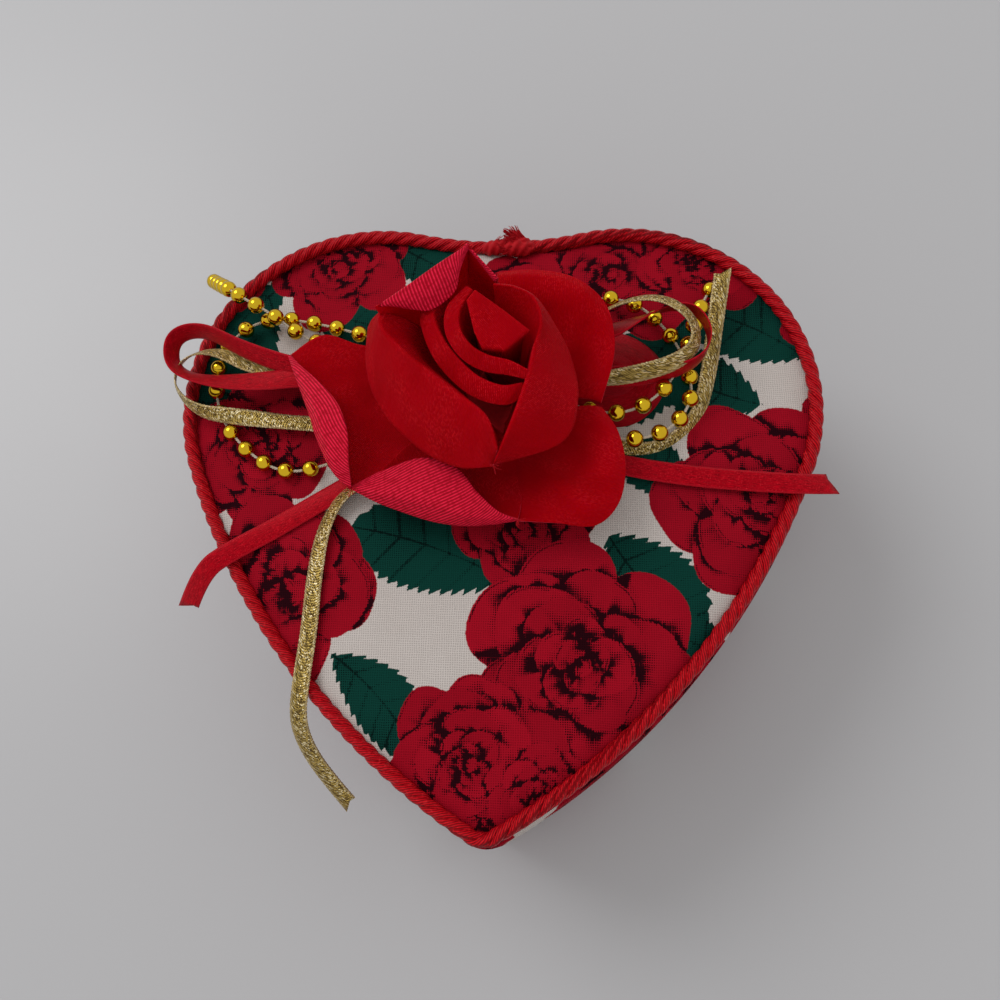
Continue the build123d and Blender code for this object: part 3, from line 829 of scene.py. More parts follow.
def metallic_ribbon():
    """Woven metallic ribbon: slanting flat yarns that each catch the light their own way, shown by painted
    glints and painted shade on each facet.
    """
    wish = settings("trims")
    paint = Shader("metallic_ribbon")
    across, along = paint.cloth_mm()
    rising, falling = (paint.wave(paint.times(across, slope, along), 0.5) for slope in (0.8, -0.8))
    yarn = paint.math("MAXIMUM", rising, falling)
    place = paint.stretched(paint.place("UV"), 330, 300, 1)
    facets = paint.add("ShaderNodeTexVoronoi", {"Vector": place, "Scale": 1.0})["Color"]
    glint = paint.axis(facets, "X")
    half = wish.metallic_width / MM / 2
    selvedge = paint.step(paint.math("ABSOLUTE", across), half - 0.45, half - 0.3)
    # Painted shade: yarn facets with a low random level are darkened.
    facet_shade = paint.step(paint.times(yarn, glint), 0.0, 0.55, 0.95, 0.0)
    colour_here = paint.mix(facet_shade, wish.metallic, tint(74, 52, 16))
    # Painted glints: facets with a high random level turn pale gold.
    colour_here = paint.mix(paint.step(glint, 0.8, 0.88, 0.0, 0.9), colour_here, tint(252, 236, 190))
    colour_here = paint.mix(paint.times(selvedge, 0.5), colour_here, tint(206, 184, 140))
    relief = paint.bump(paint.plus(yarn, glint), 0.13, 1.0)
    return paint.finish(colour_here, 0.36, relief, Metallic=0.75)


def mirror_bead():
    """Yellow metal plating that mirrors the light, a little hazy."""
    paint = Shader("mirror_bead")
    haze = paint.noise(paint.place(), 900)
    colour_here = paint.mix(paint.times(haze, 0.3), settings("trims").bead, tint(160, 118, 8))
    return paint.finish(colour_here, 0.12, paint.bump(haze, 0.01, 0.3), Metallic=1.0)


def bead_string():
    """Cream thread with darker twists."""
    paint = Shader("bead_string")
    twist = paint.noise(paint.place(), 3000)
    colour_here = paint.mix(twist, settings("trims").string, tint(150, 130, 104))
    return paint.finish(colour_here, 0.6, paint.bump(twist, 0.04))


def cord_satin():
    """Twisted cord: each ply is a bundle of shining fibres that wind against the ply, with painted shade
    between the fibres and painted highlights on them.
    """
    wish = settings("trims")
    paint = Shader("cord_satin")
    around, along = paint.attribute("ply_around"), paint.attribute("ply_along")
    lean = paint.times(along, 0.55, paint.times(around, 4.6))
    fibre = paint.wave(paint.times(paint.noise(paint.place(), 500), 0.5, lean), 0.46)
    fine = paint.noise(paint.place(), 1500, 3.0, 0.6)
    # Painted light and shade: fibre tops take the cord colour, the hollows between them a painted dark red.
    lit_fibre_share = paint.times(fibre, paint.plus(fine, 0.45), clamp=True)
    colour_here = paint.mix(lit_fibre_share, tint(104, 0, 7), wish.cord)
    # Painted highlights: pale red flecks on the fibres.
    colour_here = paint.mix(paint.step(fine, 0.56, 0.76, 0.0, 0.5), colour_here, tint(226, 52, 56))
    relief = paint.bump(paint.plus(fibre, paint.times(fine, 0.6)), 0.09, 0.9)
    return paint.finish(colour_here, 0.38, relief, Specular_IOR_Level=0.5, Specular_Tint=tint(255, 96, 100))


def fibre_red():
    """Loose red fibres of the cord's ends."""
    paint = Shader("cord_fibres")
    fine = paint.noise(paint.place(), 1200)
    colour_here = paint.mix(fine, tint(122, 4, 12), tint(190, 24, 34))
    return paint.finish(colour_here, 0.55, paint.bump(fine, 0.04), Specular_Tint=tint(255, 90, 90))


def lining_satin():
    """Deep red satin over the inner cards, with painted sheen in streaks along one direction."""
    paint = Shader("lining_satin")
    place = paint.place()
    floats = paint.noise(paint.stretched(place, 2600, 2600, 130), 1.0, 2.0)
    soft = paint.noise(place, 70)
    # Painted sheen: lighter streaks along the floats.
    colour_here = paint.mix(floats, tint(120, 4, 14), tint(168, 14, 30))
    colour_here = paint.mix(paint.times(soft, 0.4), colour_here, tint(96, 2, 10))
    relief = paint.bump(floats, 0.04, 0.5)
    relief = paint.bump(soft, 0.7, 0.3, relief)
    return paint.finish(colour_here, 0.38, relief, Specular_IOR_Level=0.5, Specular_Tint=tint(255, 96, 100))


def hinge_cotton():
    """Plain deep red cotton of the two hinge patches."""
    paint = Shader("hinge_cotton")
    weave = woven(paint, COTTON_THREAD)
    # Painted shade: the gaps between the threads are dark red, the raised threads lighter.
    colour_here = paint.mix(weave, tint(78, 2, 10), tint(126, 6, 18))
    return paint.finish(colour_here, 0.8, paint.bump(weave, 0.08, 0.9), Specular_IOR_Level=0.08)


def grey_card():
    """Recycled card: grey board with pale and dark flecks."""
    paint = Shader("grey_card")
    place = paint.place()
    flecks = paint.noise(place, 900, 4.0, 0.7)
    fibres = paint.noise(paint.stretched(place, 300, 1500, 1500), 1.0, 3.0)
    colour_here = paint.mix(flecks, tint(112, 104, 94), tint(176, 168, 156))
    colour_here = paint.mix(paint.step(fibres, 0.62, 0.7, 0.0, 0.6), colour_here, tint(92, 84, 76))
    return paint.finish(colour_here, 0.9, paint.bump(flecks, 0.08, 0.6))


def base_felt():
    """Dark green pressed felt under the box."""
    paint = Shader("green_felt")
    place = paint.place()
    fuzz = paint.noise(place, 1400, 4.0, 0.75)
    clumps = paint.noise(place, 260, 3.0)
    colour_here = paint.mix(fuzz, tint(10, 42, 34), tint(30, 86, 70))
    return paint.finish(colour_here, 0.95, paint.bump(paint.plus(fuzz, clumps), 0.25, 0.9),
                        Sheen_Weight=0.5, Sheen_Roughness=0.6)


def pad_wadding():
    """White fluff of the lid's padding."""
    paint = Shader("white_wadding")
    fluff = paint.noise(paint.place(), 500, 5.0, 0.7)
    colour_here = paint.mix(fluff, tint(196, 192, 184), tint(232, 229, 222))
    return paint.finish(colour_here, 0.95, paint.bump(fluff, 0.6, 0.8), Sheen_Weight=0.4)


# ---------------------------------------------------------------- twisted cord round the lid
def node_tree(name, **inputs):
    """A geometry node tree with a geometry in and out, and the named inputs of the kinds given."""
    tree = bpy.data.node_groups.new(name, "GeometryNodeTree")
    tree.interface.new_socket("Geometry", in_out="INPUT", socket_type="NodeSocketGeometry")
    for label, kind in inputs.items():
        tree.interface.new_socket(label.replace("_", " "), in_out="INPUT", socket_type="NodeSocket" + kind)
    tree.interface.new_socket("Geometry", in_out="OUTPUT", socket_type="NodeSocketGeometry")
    return tree, tree.nodes.new("NodeGroupInput").outputs, tree.nodes.new("NodeGroupOutput").inputs[0]


class Geometry(NodeCalls):
    """A geometry node tree while it is filled."""

    def vector(self, operation, a, b=None):
        return self.add("ShaderNodeVectorMath", {0: a, 1: b}, operation=operation)[0]

    def scaled(self, a, scale):
        return self.add("ShaderNodeVectorMath", {0: a, "Scale": scale}, operation="SCALE")[0]

    def moved(self, geometry, offset):
        return self.add("GeometryNodeSetPosition", {"Geometry": geometry, "Offset": offset})[0]

    def store(self, geometry, name, value):
        return self.add("GeometryNodeStoreNamedAttribute", {
            "Geometry": geometry, "Name": name, "Value": value}, data_type="FLOAT")[0]

    def circle(self, radius, corners):
        return self.add("GeometryNodeCurvePrimitiveCircle", {"Radius": radius, "Resolution": corners})[0]

    def swept(self, curve, profile):
        return self.add("GeometryNodeCurveToMesh", {
            "Curve": curve, "Profile Curve": profile, "Fill Caps": True})[0]

    def smooth(self, geometry):
        return self.add("GeometryNodeSetShadeSmooth", {"Geometry": geometry})[0]

    def painted(self, geometry, material):
        """Make every instance real and give all of it a material."""
        real = self.add("GeometryNodeRealizeInstances", {"Geometry": geometry})[0]
        return self.add("GeometryNodeSetMaterial", {"Geometry": real, "Material": material})[0]

    def joined(self, parts):
        node = self.nodes.new("GeometryNodeJoinGeometry")
        for part in parts:
            self.put(part, node.inputs[0])
        return node.outputs[0]


def twisted_plies_tree(plies):
    """Wind plies round a curve: each is the curve moved out along a turning direction, then swept."""
    tree, source, result = node_tree("twisted_plies", Pitch="Float", Ply_Radius="Float",
                                     Ply_Offset="Float", Step="Float", Material="Material")
    g = Geometry(tree)
    line = g.add("GeometryNodeResampleCurve", {"Curve": source["Geometry"], "Length": source["Step"]},
                 mode="LENGTH")[0]
    along = g.add("GeometryNodeSplineParameter")["Length"]
    tangent = g.add("GeometryNodeInputTangent")[0]
    side = g.vector("NORMALIZE", g.vector("CROSS_PRODUCT", tangent, (0.0, 0.0, 1.0)))
    top = g.vector("CROSS_PRODUCT", side, tangent)
    uneven = g.add("ShaderNodeTexNoise", {"Scale": 60.0, "Detail": 1.0})[0]
    turns = g.math("MULTIPLY", g.math("DIVIDE", along, source["Pitch"]), 2 * pi)
    turns = g.math("ADD", turns, g.math("MULTIPLY", uneven, 1.3))
    around = g.add("GeometryNodeSplineParameter")["Factor"]
    ring = g.nodes.new("GeometryNodeCaptureAttribute")
    ring.capture_items.new("FLOAT", "around")
    g.put(g.circle(source["Ply Radius"], 10), ring.inputs[0])
    g.put(around, ring.inputs[1])
    strands = []
    for ply in range(plies):
        angle = g.math("ADD", turns, 2 * pi * ply / plies)
        out = g.vector("ADD", g.scaled(side, g.math("COSINE", angle)), g.scaled(top, g.math("SINE", angle)))
        moved = g.moved(line, g.scaled(out, source["Ply Offset"]))
        marked = g.store(moved, "ply_along", g.math("MULTIPLY", along, 1 / MM))
        strands.append(g.store(g.swept(marked, ring.outputs[0]), "ply_around", ring.outputs[1]))
    g.put(g.painted(g.smooth(g.joined(strands)), source["Material"]), result)
    return tree


def curve_piece(name, places):
    """A curve through evenly spaced points in metres, as a carrier for a node tree."""
    data = bpy.data.curves.new(name, "CURVE")
    data.dimensions = "3D"
    spline = data.splines.new("POLY")
    spline.points.add(len(places) - 1)
    spline.points.foreach_set("co", np.concatenate([places, np.ones((len(places), 1))], 1).ravel())
    return linked(name, data)


def apply_tree(piece, tree, values):
    """Run a node tree on a piece with its named inputs set, and keep the plain mesh."""
    modifier = piece.modifiers.new("nodes", "NODES")
    modifier.node_group = tree
    for item in tree.interface.items_tree:
        if item.in_out == "INPUT" and item.name in values:
            modifier[item.identifier] = values[item.name]
    bpy.context.view_layer.update()
    return bake_modifiers(piece)


def make_edge_cord():
    """Twisted cord laid round the lid's edge from one side of the cleft to the other."""
    wish = settings("trims")
    count, gap = 1600, 2  # points of the whole round, and those left out at each side of the cleft
    path = heart_level(CORD_GROW, count, CORD_Z)[gap:-gap] * MM
    piece = apply_tree(curve_piece("lid_twisted_cord", path), twisted_plies_tree(CORD_PLIES), {
        "Pitch": wish.ply_pitch, "Ply Radius": wish.ply_radius, "Ply Offset": 0.72 * wish.ply_radius,
        "Step": 0.5 * MM, "Material": cord_satin()})
    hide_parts("lid_cord")
    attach(piece, "lid")


def frayed_fibres_tree():
    """Splay copies of a short curve from its root, each with its own seeded lean and curl."""
    tree, source, result = node_tree("frayed_fibres", Fibres="Int", Splay="Float", Seed="Int",
                                     Material="Material")
    g = Geometry(tree)
    line = g.add("GeometryNodeResampleCurve", {"Curve": source["Geometry"], "Count": 14})[0]
    copies = g.add("GeometryNodeDuplicateElements", {"Geometry": line, "Amount": source["Fibres"]},
                   domain="SPLINE")
    lean = g.add("FunctionNodeRandomValue", {
        0: (-1, -1, -0.7), 1: (1, 1, 1), "ID": copies["Duplicate Index"], "Seed": source["Seed"]},
                 data_type="FLOAT_VECTOR")[0]
    share = g.add("GeometryNodeSplineParameter")["Factor"]
    widen = g.math("ADD", g.math("POWER", share, 1.6), 0.28)
    spread = g.scaled(lean, g.math("MULTIPLY", widen, source["Splay"]))
    curl = g.add("ShaderNodeTexNoise", {"Scale": 420.0, "Detail": 1.0})[1]
    wobble = g.scaled(g.vector("SUBTRACT", curl, (0.5, 0.5, 0.5)), g.math("MULTIPLY", share, 1.2 * MM))
    bent = g.moved(g.moved(copies[0], spread), wobble)
    g.put(g.painted(g.swept(bent, g.circle(0.07 * MM, 4)), source["Material"]), result)
    return tree


def bound_stub(name, places, radius, material):
    """A short lumpy stub of cord end, wound tight before it frays."""
    chance = random.Random(7)
    line = catmull(places, 26)
    angles = 2 * pi * np.arange(28) / 28
    rings = [line[:1]]
    for step, place in enumerate(line):
        share = step / (len(line) - 1)
        forward = unit(line[min(step + 1, len(line) - 1)] - line[max(step - 1, 0)])
        side = unit(np.cross(forward, (0.2, 0.1, 1.0)))
        top = np.cross(forward, side)
        girth = radius * (0.25 + 0.75 * sin(pi * min(1, 0.12 + 0.8 * share)) ** 0.6)
        uneven = np.array([chance.uniform(-0.04, 0.04) for _ in angles])
        reach = girth * (1 + 0.13 * np.cos(CORD_PLIES * (angles + 2.2 * share * pi)) + uneven)[:, None]
        rings.append(place + reach * (np.outer(np.cos(angles), side) + np.outer(np.sin(angles), top)))
    return ring_shell(name, [*rings, line[-1:]], [material])


def make_cord_ends():
    """The cord's two ends, bunched and frayed where they meet over the cleft."""
    material = fibre_red()
    tree = frayed_fibres_tree()
    # Each bunch: points of its line outwards from (0, cleft, cord level), the radius of its bound
    # stub, how far its fibres splay and how many they are.
    bunches = (
        (((6.0, -0.6, 0.5), (3.4, -0.6, 1.2), (0.6, -0.9, 1.4)), 1.75, 1.3, 70),
        (((-3.6, -0.3, 0.3), (-1.2, -0.4, 1.0), (1.4, 0.1, 1.6)), 1.5, 1.1, 60),
        (((6.8, -0.7, 0.6), (4.6, 0.5, 1.2), (2.0, 1.7, 1.7)), 1.25, 1.25, 260),
    )
    origin = np.array((0.0, heart_ring(CORD_GROW, 400)[0][1], CORD_Z))
    parts = []
    for number, (line, radius, splay, fibres) in enumerate(bunches):
        places = origin + line
        parts.append(bound_stub(f"cord_end_{number}", places, radius, material))
        carrier = curve_piece(f"cord_fray_{number}", catmull(places, 12) * MM)
        parts.append(apply_tree(carrier, tree, {
            "Fibres": fibres, "Splay": splay * MM, "Seed": number + 3, "Material": material}))
    piece = join_meshes("cord_frayed_ends", parts)
    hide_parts("cord_tuft")
    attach(piece, "lid")


# ---------------------------------------------------------------- bows
# Routes of the bows' strands.
ROUTES_MM = {
    "red_loop_left": (
        (-14, 25, 60.7), (-28, 25.2, 61), (-40, 27.2, 61.2), (-50, 30.8, 61.2), (-58.6, 35.6, 61),
        (-65, 34, 60.6), (-64.4, 27.2, 60.3), (-58, 24.6, 60.2), (-48, 24.2, 60.1), (-36, 25.6, 60.1),
        (-26, 25.4, 60.1), (-14, 23, 60)),
    "red_tail_left": (
        (-9.8, 14, 59.2), (-20, 8.2, 58.2), (-31, 2, 57.4), (-41.9, -4.6, 56.4), (-50, -9, 56.2),
        (-55.4, -12.8, 55.6), (-58.8, -18.6, 51)),
    "red_tail_right": (
        (10.6, 11.6, 59), (24, 8.2, 58.2), (38, 6.4, 57.2), (49.5, 5.8, 56.4), (58.6, 5.4, 56.2),
        (64, 6, 54.4)),
    "red_loop_right": (
        (12.6, 30.4, 60.6), (22, 33.6, 62.2), (32, 38.4, 63.2), (38.4, 38.6, 63.4), (41.6, 32.6, 63.4),
        (39, 26.8, 63.4), (31, 24.6, 63), (21, 24.6, 62), (13.4, 25.2, 60.6)),
    "red_fold_right": (
        (4, 29.4, 57.3), (18, 33.2, 57.1), (26, 32.6, 56.8), (30.4, 27, 56.8), (26.5, 21, 57),
        (20, 20.6, 57.4), (14, 20.8, 57.6), (6, 20.6, 57.7)),
    "gold_loop_left": (
        (-13, 19.4, 58.6), (-24, 15.8, 58.2), (-38, 16.4, 58), (-51, 17.8, 58.2), (-59.6, 19, 58.2),
        (-64.8, 24.6, 58.2), (-63.2, 30.6, 58.2), (-56.6, 32.2, 58.2), (-48, 27.6, 58.2),
        (-36, 25.6, 58.4), (-24, 24.8, 58.6), (-13.6, 24.4, 58.8)),
    "gold_tail_left": (
        (-7.6, 12, 60.4), (-17.5, 7, 60), (-27.4, 3, 59.2), (-31.8, -3.8, 57.6), (-33, -13.5, 57),
        (-33.2, -24, 56.8), (-34, -33, 56.6), (-35.2, -39.6, 52.8), (-34.6, -44.4, 46.8),
        (-32, -49.4, 41), (-27.6, -54.6, 37.4)),
    "gold_loop_right": (
        (10.6, 31.6, 61.2), (18, 35.6, 64), (25, 39, 65.4), (31.8, 39.4, 66), (37.4, 35.4, 66.2),
        (38.4, 29.6, 66), (34.4, 26, 65.6), (27, 24, 64.8), (19, 23.4, 63.2), (12.9, 24, 61.4)),
    "gold_tail_right": (
        (12, 14.6, 58.2), (21, 12.6, 57.7), (31, 11, 56.9), (39, 17.8, 56), (41.6, 28, 56),
        (42.8, 37.6, 57.8), (44.4, 48, 59)),
    "bead_loop_left": (
        (-13.4, 30.8, 59.6), (-24, 34.4, 58.2), (-35, 38, 57.2), (-46.8, 40.4, 56), (-54.4, 36.2, 55.6),
        (-57.2, 28, 55.6), (-55.2, 18.4, 55.8), (-48, 10.4, 56.6), (-40, 6, 57.6), (-30, 8.4, 58.4),
        (-20, 12.6, 59.2), (-12.2, 16.8, 60.1)),
    "bead_tail_left": (
        (-22, 29.4, 58.2), (-31, 31.6, 57.8), (-39.6, 35.2, 58), (-45.6, 39.4, 59.8),
        (-50.6, 42.2, 59.6), (-55.2, 45.6, 58), (-59.6, 50.2, 51), (-62.6, 53.4, 46),
        (-65.2, 56.2, 41.8)),
    "bead_loop_right": (
        (9.6, 36.8, 60), (17.5, 43, 58.8), (27, 42.6, 58), (33.2, 37, 57.5), (37.2, 30, 57.3),
        (38.2, 20.6, 59.2), (32.6, 13.8, 59.5), (22.5, 12.4, 59.8), (12.6, 15.4, 59.9)),
    "bead_tail_right": (
        (13.6, 20.6, 59.4), (20, 17.8, 59.8), (27.5, 18.4, 60.4), (33.6, 23.4, 61.2), (37.6, 32, 61.4),
        (39.4, 40.4, 57.8), (42.2, 45.6, 56.4)),
}
ROUTES = {name: [tuple(round(value * MM, 7) for value in place) for place in route]
          for name, route in ROUTES_MM.items()}
# Rolls of each ribbon about its length, in degrees, spread evenly from its first point to its last.
ROLLS = {
    "red_loop_left": (30, 34, 38, 52, 74, 70, 24, 0, 0, 0),
    "red_fold_right": (0, 8, 16, 24, 14, 4, 0, 0),
    "red_tail_left": (0, 0, -4, 0, 6, 10, 14),
    "red_tail_right": (0, 4, 0, -4, 0, 8),
    "red_loop_right": (10, 0, 58, 92, 98, 92, 50, 5, 0),
    "gold_loop_left": (0, 0, -8, -12, 30, 78, 66, 24, 30, 60, 70, 70),
    "gold_tail_left": (0, -20, -46, -30, -8, 0, 5, 10, 14, 18, 24),
    "gold_loop_right": (60, 66, 62, 50, 40, 66, 34, 20, 66, 92),
    "gold_tail_right": (0, -20, -44, -32, -10, 0, 8),
}
# Each strand of the bows: its real length in metres and what its far end is.
STRANDS = {
    "red_loop_left": (0.1092, "object"), "red_tail_left": (0.061, "bare"),
    "red_tail_right": (0.0543, "bare"), "red_loop_right": (0.0653, "object"),
    "red_fold_right": (0.0556, "object"),
    "gold_loop_left": (0.1106, "object"), "gold_tail_left": (0.0898, "bare"),
    "gold_loop_right": (0.0629, "object"), "gold_tail_right": (0.06, "bare"),
    "bead_loop_left": (0.1107, "object"), "bead_tail_left": (0.0593, "bare"),
    "bead_loop_right": (0.0733, "object"), "bead_tail_right": (0.0467, "bare"),
}
SPACING, FINE_SPACING = 0.6 * MM, 0.3 * MM  # between points along a strand, in metres


def route_line(points, spacing):
    """Evenly spaced points, in metres, along the smooth spline that a route's points control."""
    data = bpy.data.curves.new("route", "CURVE")
    data.dimensions = "3D"
    data.resolution_u = 32
    spline = data.splines.new("NURBS")
    spline.points.add(len(points) - 1)
    for knot, place in zip(spline.points, points):
        knot.co = (*place, 1.0)
    spline.order_u = 3
    spline.use_endpoint_u = True
    holder = bpy.data.objects.new("route", data)
    mesh = bpy.data.meshes.new_from_object(holder)
    line = np.array([vertex.co for vertex in mesh.vertices])
    bpy.data.objects.remove(holder)
    bpy.data.curves.remove(data)
    bpy.data.meshes.remove(mesh)
    steps = walked(line)
    return points_at(line, steps, np.linspace(0, steps[-1], max(8, round(steps[-1] / spacing))))


def ribbon_surface(line, rolls, width, slant, scallop):
    """Carry a flat section along a line, level at first and rolled about it by the given degrees."""
    forward = unit(np.gradient(line, axis=0))
    side = np.cross(forward[0], (0, 0, 1))
    shares = np.linspace(-1, 1, 9)[:, None]
    cup = 0.035 * width * (1 - shares**2)
    rows = []
    span = 25  # points over which the rolls are evened out
    turned = np.interp(np.linspace(0, 1, len(line)), np.linspace(0, 1, len(rolls)), np.radians(rolls))
    turned = np.convolve(np.pad(turned, span // 2, mode="edge"), np.ones(span) / span, mode="valid")
    for step, (place, ahead, roll) in enumerate(zip(line, forward, turned)):
        side = unit(side - ahead * (side @ ahead))
        flat = cos(roll) * side + sin(roll) * np.cross(side, ahead)
        half = width / 2 * (1 + scallop * sin(step * 2.2))
        rows.append(place / MM + shares * half * flat + cup * np.cross(flat, ahead))
    rows[-1] = rows[-1] + shares * slant * forward[-1]
    return np.array(rows)


def make_ribbon(name, width, thickness, material, scallop=0.0):
    """One strand of ribbon along its route, cut on the slant where its end is bare."""
    line = route_line(ROUTES[name], FINE_SPACING if scallop else SPACING)
    real_length, far_end = STRANDS[name]
    slant = 1.3 if far_end == "bare" else 0.0
    surface = ribbon_surface(line, ROLLS[name], width, slant, scallop)
    piece = cloth_shell(name + "_ribbon", surface, thickness, [material, material, material])
    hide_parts(name)
    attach(piece, "lid")


def bead_string_tree(plies):
    """Thread beads evenly along a curve, on a fine string twisted as the given tree says."""
    tree, source, result = node_tree("bead_string", Pitch="Float", Radius="Float",
                                     Bead_Material="Material", String_Material="Material")
    g = Geometry(tree)
    places = g.add("GeometryNodeCurveToPoints", {"Curve": source["Geometry"], "Length": source["Pitch"]},
                   mode="LENGTH")[0]
    bead = g.add("GeometryNodeMeshUVSphere", {"Segments": 20, "Rings": 12, "Radius": source["Radius"]})[0]
    turned = g.add("FunctionNodeRandomValue", {1: (0.5, 0.5, 3.0)}, data_type="FLOAT_VECTOR")[0]
    strung = g.add("GeometryNodeInstanceOnPoints", {
        "Points": places, "Instance": bead, "Rotation": turned})[0]
    beads = g.smooth(g.painted(strung, source["Bead Material"]))
    string = g.add("GeometryNodeGroup", {
        "Geometry": source["Geometry"], "Pitch": 1.7 * MM, "Step": 0.2 * MM, "Ply Radius": 0.13 * MM,
        "Ply Offset": 0.16 * MM, "Material": source["String Material"]}, node_tree=plies)[0]
    g.put(g.joined((string, beads)), result)
    return tree


def make_bead_strings():
    """Mirror-plated beads on a twisted string, along four routes."""
    wish = settings("trims")
    tree = bead_string_tree(twisted_plies_tree(STRING_PLIES))
    bead, string = mirror_bead(), bead_string()
    for name in ("bead_loop_left", "bead_tail_left", "bead_loop_right", "bead_tail_right"):
        line = route_line(ROUTES[name], SPACING)
        piece = apply_tree(curve_piece(name + "_string", line), tree, {
            "Pitch": wish.bead_pitch, "Radius": wish.bead_radius, "Bead Material": bead,
            "String Material": string})
        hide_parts(name)
        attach(piece, "lid")


